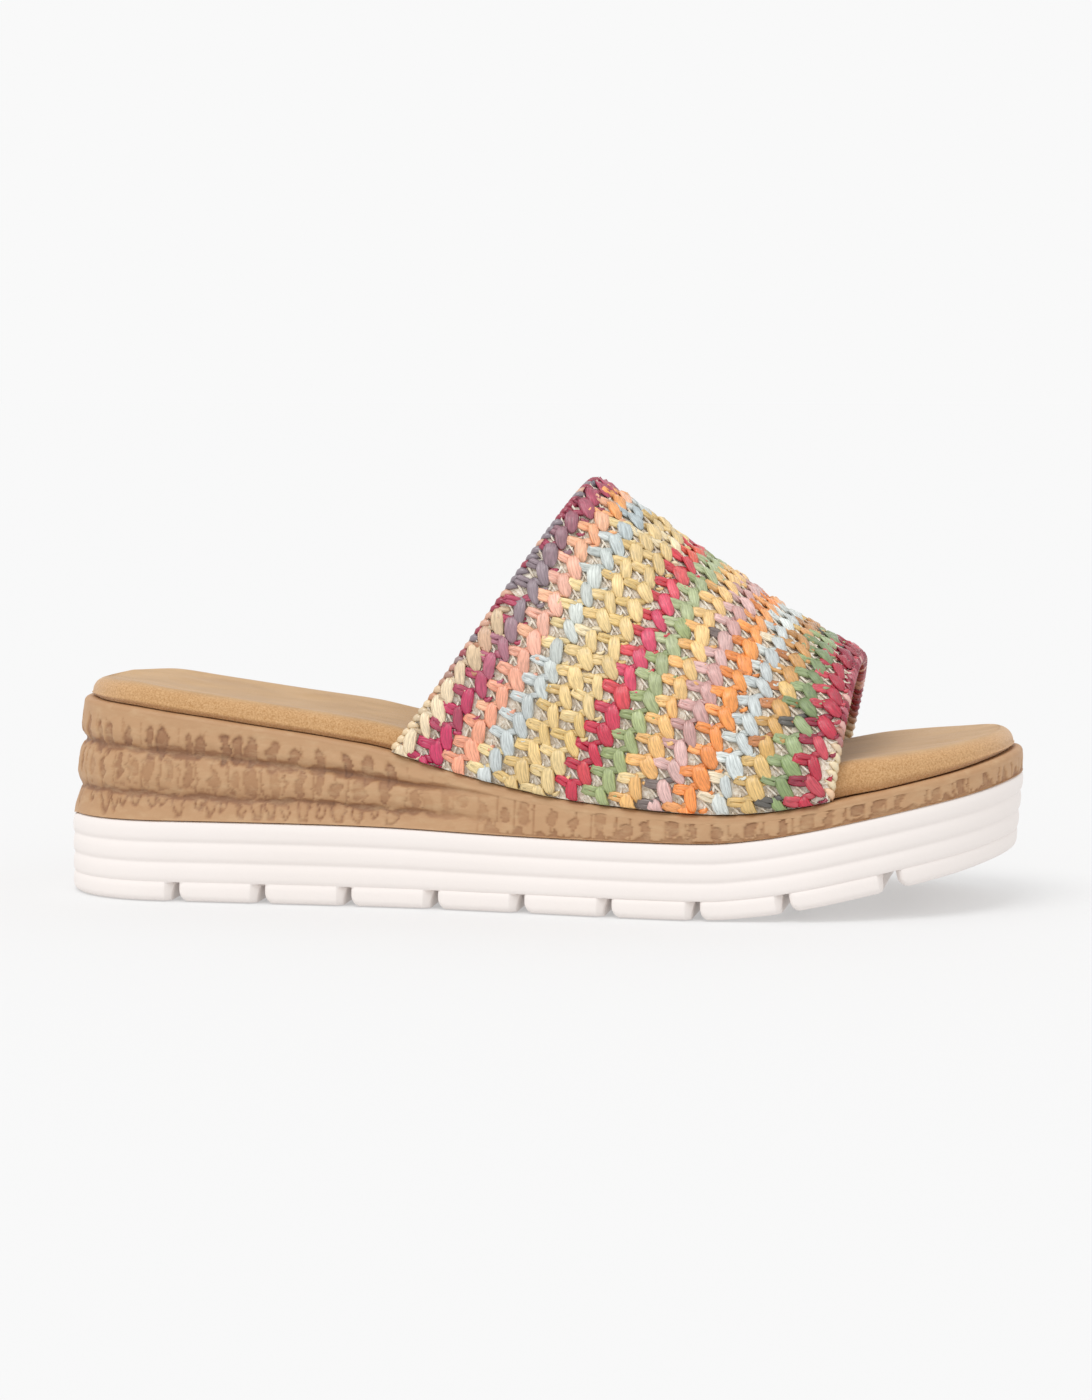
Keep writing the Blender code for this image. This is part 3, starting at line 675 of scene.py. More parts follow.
class SandalColours(bpy.types.PropertyGroup):
    """Colours of the foam, suede, linen and floor."""

    sole_white: colour_property("Sole white", "Outsole's main colour", "f0e9e5")
    sole_shade: colour_property("Sole shade", "Outsole's greyer patches", "ebe3de")
    bark_light: colour_property("Bark rolls", "Bark foam on its rolls", "bb936c")
    bark_base: colour_property("Bark base", "Bark foam between rolls and dents", "b18760")
    # Painted highlight: a lighter colour mixed into the bark in streaks
    bark_highlight: colour_property("Bark wear", "Rubbed high places of the bark foam", "c6a57e")
    # Painted shade: darker colours for the bark's dents and its deepest creases
    bark_recess: colour_property("Bark recess", "Inside the bark's dents", "976c4b")
    bark_crease_shade: colour_property("Bark crease", "Deepest creases of the bark", "74503a")
    suede_top_light: colour_property("Suede light", "Insole's top where the nap lies back", "c09a6a")
    suede_top_dark: colour_property("Suede dark", "Insole's top where the nap lies forward", "af8859")
    suede_side_light: colour_property("Suede wall light", "Light grains of the insole's wall", "d3aa7c")
    suede_side_dark: colour_property("Suede wall dark", "Dark grains of the insole's wall", "b58857")
    linen_base: colour_property("Linen", "Linen yarn", "e6d9c6")
    linen_light: colour_property("Linen light", "Pale slubs of the linen", "faf3e6")
    linen_dark: colour_property("Linen dark", "Grey slubs of the linen", "c6b59d")
    lining: colour_property("Lining", "Cotton lining of the band", "d2c0a2")
    floor: colour_property("Floor", "Studio floor", "bababa")


class SANDAL_OT_outsole(bpy.types.Operator):
    """Outsole: rings from the lugs' floor line to the top edge, lifted over the gaps between the lugs"""

    bl_idname = "sandal.make_outsole"
    bl_label = "Outsole"

    def execute(self, context):
        sizes = context.scene.sandal_sizes
        shares, sides = around(lug_stations())
        gap_height, gap_extra = gap_shape(shares * LENGTH, sizes.lug_corner)
        turn = np.linspace(0, math.pi / 2, 7)
        lug_inset = np.concatenate([LUG_EDGE_ROUND * (1 - np.sin(turn)), [0.0, 0.02 * MM, 0.12 * MM, 0.3 * MM]])
        lug_height = np.concatenate([LUG_EDGE_ROUND * (1 - np.cos(turn)), [2.6 * MM, 3.6 * MM, 4.35 * MM, 4.8 * MM]])
        ceiling = LUG_HEIGHT + 0.15 * MM
        squeezed = gap_height + lug_height[:, None] * (ceiling - gap_height) / ceiling
        rib_inset, rib_share = rib_insets(sizes)
        thickness = sole_thickness(shares)
        height = np.concatenate([squeezed, np.maximum(rib_share[:, None] * thickness, ceiling)])
        inset = np.concatenate([
            lug_inset[:, None] + gap_extra,
            np.broadcast_to(rib_inset[:, None], (len(rib_inset), len(shares))),
        ])
        # The gaps stand square to the rocker, so points slide along the outline by their height times its slope
        slope = (floor_height(np.minimum(shares + 0.01, 1)) - floor_height(shares - 0.01)) / (0.02 * LENGTH)
        slid = np.clip(shares - np.minimum(height, LUG_HEIGHT) * slope / LENGTH * smooth_step(1 - shares, 0.02, 0.08), 0, 1)
        inset = inset + SOLE_TOE_DRAFT * smooth_step(shares, 1 - TOE_ROUND / LENGTH, 1) * (1 - height / thickness)
        points = rim_rings(slid, sides, inset, floor_height(shares) + height)
        count, rings = len(shares), len(height)
        quads = np.concatenate([
            cap_quads(0, count, upwards=False),
            tube_quads(rings, count),
            cap_quads((rings - 1) * count, count, upwards=True),
        ])
        material = foam_rubber(context.scene.sandal_colours)
        put_mesh(
            "cleated_outsole", points.reshape(-1, 3), quads, "white_foam_rubber", [material], ["outsole"], 38
        )
        return {"FINISHED"}


def stamps(a, t, rows):
    """The deepest of many soft-edged ovals, each with a crease round it, at each point. Rows: place along, place up, half width, half height,
    depth and edge softness, all in millimetres but the last two, which are shares."""
    depth = np.zeros(a.shape)
    for along, up, wide, tall, deep, soft in rows:
        near = np.abs(a[0] - along) < wide * 1.6 + 1.5
        if not near.any():
            continue
        r = np.sqrt(((a[:, near] - along) / wide) ** 2 + ((t[:, near] - up) / tall) ** 2)
        inside = smooth_step(1 + soft - r, 0, 2 * soft)
        outline = np.clip(1 - np.abs(r - 1) / 0.22, 0, 1)
        depth[:, near] = np.maximum(depth[:, near], deep * (0.62 * inside + 0.5 * outline))
    return depth


def loops(a, t, rows):
    """Thin U-shaped creases: the lower half of an oval's outline. Rows: place along, top, half width, height, depth."""
    depth = np.zeros(a.shape)
    for along, top, wide, tall, deep in rows:
        r = np.sqrt(((a - along) / wide) ** 2 + ((t - top) / tall) ** 2)
        line = np.clip(1 - np.abs(r - 1) / 0.3, 0, 1) * (t < top + 0.5)
        depth = np.maximum(depth, deep * line)
    return depth


def spaced(start, end, pitch, seed, jitter=0.6):
    """Places from start to end about a pitch apart, each moved by a fixed share of it."""
    count = max(1, int((end - start) / pitch))
    k = np.arange(count)
    return start + (k + 0.5 + jitter * (lattice(k, 3.0, 7.0, seed) - 0.5)) * pitch


def bark_relief(a, t, v, at, side, arcs, xs):
    """Depth in from the smooth rolls, as shares of the bark's depth, for places a and t in millimetres along and
    up the wedge's side, v the share of its height and at the share of the length.

    Heel: arched dents hang over the upper groove, plates with cracks and dents cover the middle roll, and
    U-shaped creases hang from the lower groove. Forefoot: jagged recesses climb from the lower edge."""
    seed = 3 if side < 0 else 11
    height = wedge_height(at) / MM
    wander = 0.8 * noise(a / 3.1, t / 2.2, 0, seed) + 0.35 * noise(a / 1.1, t / 0.9, 0, seed + 1)
    lift = 0.9 * noise(a / 4.0, t / 3.0, 5, seed + 2) + 0.3 * noise(a / 1.2, t / 1.2, 5, seed + 3)
    aw, tw = a + wander, t + lift
    upper, lower = UPPER_GROOVE * height, LOWER_GROOVE * height
    heel = 1 - smooth_step(at, 0.36, 0.50)
    fore = smooth_step(at, 0.40, 0.50)
    end = arcs[np.searchsorted(xs, 118)]
    if side < 0:
        arches, dents, hooks, band_dents = (np.interp(row, xs, arcs) for row in (ARCHES, DENTS, HOOKS, BAND_DENTS))
    else:
        arches = spaced(2, end, 6.5, seed)
        dents = spaced(8, end, 7.5, seed + 1)
        hooks = spaced(3, end, 4.8, seed + 2)
        band_dents = spaced(end, arcs[-1] - 3, 9.5, seed + 3)
    up = lambda place, share: share * np.interp(place, arcs, wedge_height(xs * MM / LENGTH)) / MM
    pick = lambda place, k: lattice(np.round(place * 7), k, 1.0, seed)
    arch_rows = [
        (p, up(p, UPPER_GROOVE) + 1.6 + 1.4 * pick(p, 1), 0.9 + 0.7 * pick(p, 2), 3.2 + 1.6 * pick(p, 3), 0.75 + 0.25 * pick(p, 4), 0.28)
        for p in arches
    ]
    dent_rows = [
        (p, up(p, 0.47) + 1.6 * (pick(p, 5) - 0.5), 0.9 + 0.7 * pick(p, 6), 2.0 + 2.4 * pick(p, 7), 0.45 + 0.4 * pick(p, 8), 0.35)
        for p in dents
    ]
    band_rows = [
        (p, up(p, 0.30 + 0.25 * pick(p, 9)), 0.8 + 1.1 * pick(p, 10), 1.3 + 1.8 * pick(p, 11), 0.5 + 0.35 * pick(p, 12), 0.3)
        for p in band_dents
    ]
    hook_rows = [(p, up(p, LOWER_GROOVE), 0.9 + 0.9 * pick(p, 13), 3.4 + 2.2 * pick(p, 14), 0.62) for p in hooks]
    pock_rows = [(p, up(p, 0.33) + 0.6 * (pick(p, 15) - 0.5), 0.5, 0.45, 0.4, 0.5) for p in spaced(36, 84, 2.3, seed)]
    relief = stamps(aw, tw, arch_rows) * heel
    relief = np.maximum(relief, stamps(aw, tw, dent_rows) * heel)
    relief = np.maximum(relief, stamps(aw, tw, band_rows) * (0.25 + 0.75 * fore))
    relief = np.maximum(relief, loops(aw, tw, hook_rows) * heel)
    relief = np.maximum(relief, stamps(aw, tw, pock_rows) * heel)
    # Thin cracks up the middle roll and the forefoot: narrow ovals that stop at the grooves
    crack_rows = [(p, up(p, 0.46), 0.28, up(p, 0.17), 0.55, 0.5) for p in spaced(4, end, 4.9, seed + 5)]
    crack_rows += [(p, up(p, 0.84), 0.22, up(p, 0.10), 0.35, 0.5) for p in spaced(4, end, 6.3, seed + 6)]
    relief = np.maximum(relief, stamps(aw, tw, crack_rows) * heel)
    fore_rows = [(p, up(p, 0.34), 0.3, up(p, 0.34), 0.6, 0.5) for p in spaced(end, arcs[-1], 5.2, seed + 7)]
    relief = np.maximum(relief, stamps(a + 0.4 * wander, t, fore_rows) * fore)
    # Uneven recesses along both grooves, and jagged ones that climb from the lower edge of the forefoot
    ragged = 0.5 + 0.5 * noise(a / 2.3, t / 5.0, 2, seed + 8)
    for line, reach in ((upper, 1.5), (lower, 1.1)):
        relief = np.maximum(relief, 0.5 * smooth_step(reach * (0.5 + ragged) - np.abs(tw - line), 0, 0.7) * heel)
    jag = 0.5 + 2.9 * np.clip(noise(a / 2.6, at * 9, 1, seed + 9), 0, 1) + 1.2 * np.clip(noise(a / 0.9, 0, 2, seed), 0, 1)
    relief = np.maximum(relief, 0.5 * smooth_step(jag - t, -0.2, 0.5) * fore)
    broad = 0.16 * noise(a / 5.0, t / 3.0, 3, seed + 10) + 0.08 * noise(a / 1.6, t / 1.2, 3, seed + 11)
    rim = smooth_step(v, 0.0, 0.03) * (1 - smooth_step(v, 0.93, 0.99))
    return relief * rim, (broad * rim)


class SANDAL_OT_wedge(bpy.types.Operator):
    """Wedge: rings up three rolls that merge towards the toe, pressed in by the bark relief"""

    bl_idname = "sandal.make_wedge"
    bl_label = "Bark wedge"

    def execute(self, context):
        sizes = context.scene.sandal_sizes
        dense = 0.5 - 0.5 * np.cos(np.pi * np.arange(3001) / 3000)
        outline = np.stack([dense * LENGTH, edge_y(dense, -1)], axis=1)
        run = np.concatenate([[0], np.cumsum(np.linalg.norm(np.diff(outline, axis=0), axis=1))])
        at = np.interp(np.linspace(0, run[-1], 581), run, dense)
        shares, sides = around(at)
        arcs, xs = run / MM, outline[:, 0] / MM
        a = np.interp(shares * LENGTH / MM, xs, arcs)
        v = np.linspace(0, 1, 62)
        height = wedge_height(shares)
        grid_v = np.broadcast_to(v[:, None], (len(v), len(shares)))
        body = np.maximum(height - WEDGE_EDGE_ROUND, 0.5 * WEDGE_EDGE_ROUND)
        t = grid_v * height / MM
        # The upper groove climbs and the lower one too where the rolls merge
        upper = UPPER_GROOVE + 0.21 * smooth_step(shares, 0.35, 0.48)
        lower = LOWER_GROOVE + 0.06 * smooth_step(shares, 0.35, 0.46)
        low = grid_v / lower * LOWER_GROOVE
        mid = LOWER_GROOVE + (grid_v - lower) / (upper - lower) * (UPPER_GROOVE - LOWER_GROOVE)
        top = UPPER_GROOVE + (grid_v - upper) / (1 - upper) * (1 - UPPER_GROOVE)
        canon = np.where(grid_v < lower, low, np.where(grid_v < upper, mid, top))
        groove = follow(ROLLS, 1, np.clip(canon, 0, 1)) * (1 - smooth_step(shares, 0.36, 0.52))
        relief, broad = np.zeros_like(t), np.zeros_like(t)
        for side in (-1, 1):
            mine = sides == side
            grid_a = np.broadcast_to(a[mine], t[:, mine].shape)
            share = np.broadcast_to(shares[mine], grid_a.shape)
            relief[:, mine], broad[:, mine] = bark_relief(
                grid_a, canon[:, mine] * height[mine] / MM, grid_v[:, mine], share, side, arcs, xs
            )
        edge_inset = wedge_edge_inset(shares)
        inset = WEDGE_FOOT_INSET + (edge_inset - WEDGE_FOOT_INSET) * grid_v + WEDGE_GROOVE_DEPTH * groove
        inset = inset + sizes.bark_depth * (relief + broad)
        base = sole_top(shares) + SEAT_GAP
        turn = np.linspace(0, math.pi / 2, 6)[1:]
        round_inset = edge_inset + WEDGE_GROOVE_DEPTH * groove[-1] + WEDGE_EDGE_ROUND * (1 - np.cos(turn))[:, None]
        round_height = base + body + (height - body) * np.sin(turn)[:, None]
        points = rim_rings(
            shares, sides, np.concatenate([inset, round_inset]), np.concatenate([base + grid_v * body, round_height])
        )
        # Painted shade: how deep each point lies in the bark's dents, creases, grooves and broad hollows, kept per
        # point to darken its colour; the rows of the rounded top edge get a light painted shade
        recess = np.concatenate([np.clip(0.95 * relief + 0.28 * groove + 0.3 * np.clip(broad, 0, 1), 0, 1), np.zeros(round_inset.shape)])
        recess[-5:] = 0.15
        count, rings = len(shares), len(points)
        quads = np.concatenate([
            cap_quads(0, count, upwards=False),
            tube_quads(rings, count),
            cap_quads((rings - 1) * count, count, upwards=True),
        ])
        put_mesh(
            "bark_wedge",
            points.reshape(-1, 3),
            quads,
            "bark_foam",
            [bark_foam(context.scene.sandal_colours)],
            ["wedge_midsole"],
            60,
            recess=recess.ravel(),
        )
        return {"FINISHED"}


class SANDAL_OT_insole(bpy.types.Operator):
    """Insole: a padded suede footbed with a round-edged wall and a top that dips in the middle"""

    bl_idname = "sandal.make_insole"
    bl_label = "Suede insole"

    def execute(self, context):
        sizes = context.scene.sandal_sizes
        across = 36
        at = 0.5 - 0.5 * np.cos(np.pi * np.arange(261) / 260)
        shares, sides = around(at)
        inset = np.where(sides < 0, insole_inset(shares, -1), insole_inset(shares, 1))
        bottom = wedge_top(shares) + SEAT_GAP
        thick = insole_thickness(shares)
        wall = np.linspace(0, 1, 8)[:, None]
        turn = np.linspace(0, math.pi / 2, 9)[1:, None]
        foot = INSOLE_FOOT_CUT * (1 - wall) ** 3
        bulge = -0.00035 * np.sin(math.pi * wall)
        rise = INSOLE_FOOT_CUT + wall * (thick - INSOLE_EDGE_ROUND - INSOLE_FOOT_CUT)
        insets = np.concatenate([
            inset + INSOLE_FOOT_CUT + np.zeros((1, len(shares))),
            inset + foot + bulge,
            inset + INSOLE_EDGE_ROUND * (1 - np.cos(turn)),
        ])
        heights = np.concatenate([
            np.zeros((1, len(shares))), rise, thick + INSOLE_EDGE_ROUND * (np.sin(turn) - 1) + 0 * shares,
        ])
        points = rim_rings(shares, sides, insets, bottom + heights)
        rings, count = len(points), len(shares)
        rim = points[-1]
        outer, inner = rim[: len(at)], rim[(count - np.arange(len(at))) % count]
        share = np.linspace(0, 1, across + 1)[None, 1:-1, None]
        rows = outer[:, None] * (1 - share) + inner[:, None] * share
        dip = INSOLE_DISH * (1 - 0.6 * smooth_step(at, 0.25, 0.6)) * rounding(at)
        rows[..., 2] -= dip[:, None] * np.sin(math.pi * share[..., 0])
        rows[..., 2] += sizes.nap_depth * noise(rows[..., 0] * 90, rows[..., 1] * 160, 0, 5)
        first = (rings - 1) * count
        left = first + np.arange(len(at))
        right = first + (count - np.arange(len(at))) % count
        start = rings * count
        middle = start + np.arange(len(at) * (across - 1)).reshape(len(at), across - 1)
        middle[0], middle[-1] = left[0], left[-1]
        table = np.concatenate([left[:, None], middle, right[:, None]], axis=1)
        top = np.stack([table[:-1, :-1], table[1:, :-1], table[1:, 1:], table[:-1, 1:]], axis=-1).reshape(-1, 4)
        wrinkle = noise(points[..., 0] * 70, points[..., 2] * 200, points[..., 1] * 70, 9) * sizes.nap_depth
        points[1:-1, :, 2] += (wrinkle * np.linspace(0, 1, rings)[:, None])[1:-1]
        side_share = 1 - smooth_step(np.arange(rings) / (rings - 1), 0.72, 1.0)
        wall_value = np.concatenate([np.repeat(side_share, count), np.zeros(rows.shape[0] * rows.shape[1])])
        quads = np.concatenate([cap_quads(0, count, upwards=False), tube_quads(rings, count), top])
        every = np.concatenate([points.reshape(-1, 3), rows.reshape(-1, 3)])
        every, quads, wall_value = only_used(every, quads, wall_value)
        piece = put_mesh(
            "suede_insole", every, quads, "tan_suede", [suede(context.scene.sandal_colours)], ["insole"], 180,
            wall=wall_value,
        )
        return {"FINISHED"}


def only_used(points, quads, *values):
    """Leaves out points that no face names."""
    used = np.zeros(len(points), bool)
    used[quads.ravel()] = True
    renumber = np.cumsum(used) - 1
    return (points[used], renumber[quads], *(value[used] for value in values))


class BandMap:
    """The band's outer face as a grid over u, from its back edge to its front one, and w, from the outer foot at -1
    over the crest at 0 to the inner foot at 1. Each half is a quarter of a superellipse that leans forwards as it
    climbs, measured along its own length."""

    def __init__(self, columns=120, rows=400, dense=240):
        u = np.linspace(0, 1, columns + 1)
        w = np.linspace(-1, 1, rows + 1)
        self.columns, self.rows = columns, rows
        power = 2 / ARCH_POWER
        angle = np.linspace(0, math.pi / 2, dense)
        lift = np.sin(angle) ** power
        drop = np.cos(angle).clip(0) ** power
        crest_x = CREST_BACK + (CREST_FRONT - CREST_BACK) * follow(CREST, RUN, u)
        crest_y = BALL_WIDTH * follow(PLAN, SHIFT, crest_x / LENGTH) + CREST_SHIFT
        crest_z = CREST_BACK_HEIGHT - (CREST_BACK_HEIGHT - CREST_FRONT_HEIGHT) * follow(CREST, FALL, u)
        self.points = np.zeros((columns + 1, rows + 1, 3))
        self.reach = {}
        for side, mine in ((-1, w <= 0), (1, w > 0)):
            back, front = band_ends(side)
            foot_x = back + (front - back) * u
            foot_z = wedge_top(foot_x / LENGTH) + SEAT_GAP
            x = foot_x[:, None] + (crest_x - foot_x)[:, None] * lift**LEAN_POWER
            inset = wedge_edge_inset(x / LENGTH) + BAND_INSET
            y = crest_y[:, None] + (edge_y(x / LENGTH, side) - side * inset - crest_y[:, None]) * drop
            z = foot_z[:, None] + (crest_z - foot_z)[:, None] * lift
            line = np.stack([x, y, z], axis=-1)
            steps = np.linalg.norm(np.diff(line, axis=1), axis=-1)
            run = np.concatenate([np.zeros((columns + 1, 1)), np.cumsum(steps, axis=1)], axis=1)
            self.reach[side] = run[:, -1]
            for i in range(columns + 1):
                place = (1 - np.abs(w[mine])) * run[i, -1]
                for axis in range(3):
                    self.points[i, mine, axis] = np.interp(place, run[i], line[i, :, axis])
        self.points += PLACE
        self.along_u = np.gradient(self.points, 1 / columns, axis=0)
        self.along_w = np.gradient(self.points, 2 / rows, axis=1)
        normals = np.cross(self.along_u, self.along_w)
        self.normals = normals / np.linalg.norm(normals, axis=-1, keepdims=True)

    def look_up(self, grid, u, w):
        """A grid's values between its points, on straight lines each way."""
        x = np.clip(np.asarray(u, float), 0, 1) * self.columns
        y = (np.clip(np.asarray(w, float), -1, 1) + 1) / 2 * self.rows
        i = np.minimum(x.astype(int), self.columns - 1)
        j = np.minimum(y.astype(int), self.rows - 1)
        p, q = (x - i)[..., None], (y - j)[..., None]
        low = grid[i, j] * (1 - p) + grid[i + 1, j] * p
        high = grid[i, j + 1] * (1 - p) + grid[i + 1, j + 1] * p
        return low * (1 - q) + high * q

    def frame_at(self, u, w):
        """(unit step down towards the outer foot, unit step across towards the toe, normal) at places on the face."""
        down = -self.look_up(self.along_w, u, w)
        down /= np.linalg.norm(down, axis=-1, keepdims=True)
        normal = self.look_up(self.normals, u, w)
        across = np.cross(down, normal)
        across /= np.linalg.norm(across, axis=-1, keepdims=True)
        along_u = self.look_up(self.along_u, u, w)
        across *= np.sign(np.sum(across * along_u, axis=-1, keepdims=True))
        return down, across, normal

    def lay(self, u, w, across, down, rise):
        """Points laid on the face: a step across and down from (u, w) is turned into steps of u and w by the face's own
        two directions there, and the point is then raised along the normal."""
        su, sw = self.look_up(self.along_u, u, w), self.look_up(self.along_w, u, w)
        d, f, _ = self.frame_at(u, w)
        step = across[..., None] * f + down[..., None] * d
        uu, ww, uw = (np.sum(m * n, axis=-1) for m, n in ((su, su), (sw, sw), (su, sw)))
        pu, pw = np.sum(step * su, axis=-1), np.sum(step * sw, axis=-1)
        span = uu * ww - uw * uw
        new_u = u + (pu * ww - pw * uw) / span
        new_w = np.clip(w + (pw * uu - pu * uw) / span, -0.997, 0.997)
        beyond = np.clip(new_u, 0.004, 0.996)
        points = self.look_up(self.points, beyond, new_w)
        return points + rise[..., None] * self.look_up(self.normals, beyond, new_w)


def strips_on_band(band, u, w, path, width, thick, around_count, seed=0, crinkle=0.0):
    """Strips laid along a path on the band's face, one for each (u, w).

    path is (across, down, rise) rows; the section is an oval, width across the path and thick along the normal, and
    both shrink to nothing at the ends by the given rows of half sizes. With a crinkle, each strip is turned and sized
    a little its own way, and its surface rises and falls by smooth noise that deep. Returns points and UVs."""
    across, down, rise = path
    step_a, step_d = np.gradient(across), np.gradient(down)
    size = np.hypot(step_a, step_d)
    side_a, side_d = step_d / size, -step_a / size
    angle = np.linspace(0, 2 * math.pi, around_count, endpoint=False)
    # A flat ribbon's section: the powers square off the oval's corners
    c = np.sign(np.cos(angle)) * np.abs(np.cos(angle)) ** 0.85
    s = np.sign(np.sin(angle)) * np.abs(np.sin(angle)) ** 0.6
    k = np.arange(len(u), dtype=float)
    column = np.rint(u * 1000)

    def own(number, spread):
        return (1 + spread * (2 * lattice(k, column, number, seed) - 1))[:, None, None]

    loose = 1.0 if crinkle else 0.0
    wide = own(1.0, 0.2 * loose)
    a = across[:, None] * own(2.0, 0.08 * loose) + side_a[:, None] * width[:, None] * c * wide
    d = down[:, None] * own(3.0, 0.08 * loose) + side_d[:, None] * width[:, None] * c * wide
    tilt = own(4.0, 0.18 * loose) - 1
    a, d = a * np.cos(tilt) - d * np.sin(tilt), a * np.sin(tilt) + d * np.cos(tilt)
    r = (rise[:, None] + thick[:, None] * s) * own(5.0, 0.12 * loose)
    ring_number = np.arange(len(across), dtype=float)[:, None]
    bumps = noise(ring_number * 0.9 + k[:, None, None] * 7.7, np.arange(around_count) * 1.1, column[:, None, None], seed)
    r = r + crinkle * bumps * np.minimum(1, thick[:, None] / thick.max() * 2)
    uu = np.broadcast_to(u[:, None, None], r.shape)
    ww = np.broadcast_to(w[:, None, None], r.shape)
    points = band.lay(uu, ww, np.broadcast_to(a, r.shape), np.broadcast_to(d, r.shape), r)
    # The two ends close on one point each
    points[:, 0] = points[:, 0].mean(axis=1, keepdims=True)
    points[:, -1] = points[:, -1].mean(axis=1, keepdims=True)
    length = np.concatenate([[0], np.cumsum(np.hypot(np.diff(across), np.diff(down)))])
    flat = np.broadcast_to(width[:, None] * c, (len(across), around_count))
    uv = np.stack([flat, np.broadcast_to(length[:, None], flat.shape)], axis=-1) / MM
    uv = uv[None] + np.stack([7.3 * k % 97, 3.1 * k % 89], axis=-1)[:, None, None]
    return points, uv


def strip_quads(pieces, rings, count):
    """Quads of many closed strips of the same size, each a stack of rings whose end rings are one point."""
    one = tube_quads(rings, count)
    one = np.where(one < count, 0, one)
    last = (rings - 1) * count
    one = np.where(one >= last, last, one)
    return (one[None] + (np.arange(pieces) * rings * count)[:, None, None]).reshape(-1, 4)


# Columns of stitches from the back edge to the front one: colours of the tongues at the outer foot, half way up and on
# the crest, and two colours of the loops. The first column lies along the back edge
DYES = (
    ("e8d4b2", "c99478", "93445a", "b9805f", "d6bb98"),
    ("c22f5c", "94838a", "a63a54", "75707a", "b0405c"),
    ("f0a484", "f2b8a2", "f0a45e", "f4b078", "f0b692"),
    ("c3cac9", "cbd0c9", "b0bcbf", "ecd49c", "c9cfcd"),
    ("e4c486", "e6ca90", "dfc28a", "eedcb4", "dbbb7c"),
    ("e6cb92", "e5c78c", "dfc186", "eedcb4", "ddbd7a"),
    ("c62a46", "dc4c6c", "da5e48", "be2a44", "d0424c"),
    ("a2ae78", "acb588", "adb88c", "b7be94", "98a46e"),
    ("ecb872", "edc686", "ecc080", "f0d49c", "e8b26e"),
    ("c99c96", "d2a49e", "ca9b94", "746661", "dcb4ae"),
    ("f2944c", "f39e50", "efa868", "f0a464", "e88e4a"),
    ("c8cfcd", "c3c9c8", "cdd2ce", "ecdcbe", "d6dbd6"),
    ("d2a860", "ce9a5a", "c08a54", "b67646", "dab674"),
    ("869a64", "7c8e60", "84946a", "5a5650", "98a878"),
    ("bc243e", "b42840", "982a3a", "94203a", "c44452"),
)


def dye_colours(column, w, kind, seed):
    """Linear colours of a column's strips: blended along the column, with each strip's own tint."""
    low, mid, crest, loop_one, loop_two = (np.array(linear(code)) for code in DYES[column + 1])
    up = 1 - np.abs(w)
    first = smooth_step(up, 0.2, 0.55)[:, None]
    second = smooth_step(up, 0.6, 0.95)[:, None]
    tongue = (low * (1 - first) + mid * first) * (1 - second) + crest * second
    k = np.arange(len(w), dtype=float)
    # Neighbouring strips of one stitch are often, but not always, the same strand
    draw = lattice(k, float(column), 2.0, seed)[:, None]
    own = lattice(k, float(column), 5.0 + len(kind), seed)[:, None]
    plain = 0.86 if kind == "tongue" else 0.55
    mixed = np.where(draw * 0.5 + own * 0.5 < plain * 0.8, tongue, np.where(own < 0.5, loop_one, loop_two))
    bright = 0.9 + 0.2 * lattice(k, float(column), 9.0 + len(kind), seed)[:, None]
    return np.clip(mixed * bright, 0, 1)


# The columns drift backwards as they climb, by this share of the band's run, and the one along the back edge stops
# where the next one meets it, at this share of the way up
COLUMN_DRIFT = 0.055
EDGE_COLUMN_TOP = 0.48
COLUMN_STAGGER = 1.2 * MM
FIRST_STITCH = 2.2 * MM


def column_places(band, column, pitch):
    """(u, w) of a column's stitches, a pitch apart along its own line from foot to foot."""
    u = max(column + 1, 0.12) / COLUMN_COUNT
    outer, inner = (float(np.interp(u, np.linspace(0, 1, band.columns + 1), band.reach[s])) for s in (-1, 1))
    total = outer + inner
    count = math.ceil(total / pitch) + 1
    offset = ((-COLUMN_STAGGER * column) % pitch) * 0.8
    s = FIRST_STITCH + offset + np.arange(count) * pitch
    s = s[s < total + 0.5 * pitch]
    w = np.minimum(np.where(s < outer, -1 + s / outer, (s - outer) / inner), 0.995)
    up = 1 - np.abs(w)
    if column < 0:
        w, up = w[up < EDGE_COLUMN_TOP], up[up < EDGE_COLUMN_TOP]
    return u - COLUMN_DRIFT * (1 - u) * smooth_step(up, 0.25, 0.85) * (column >= 0), w


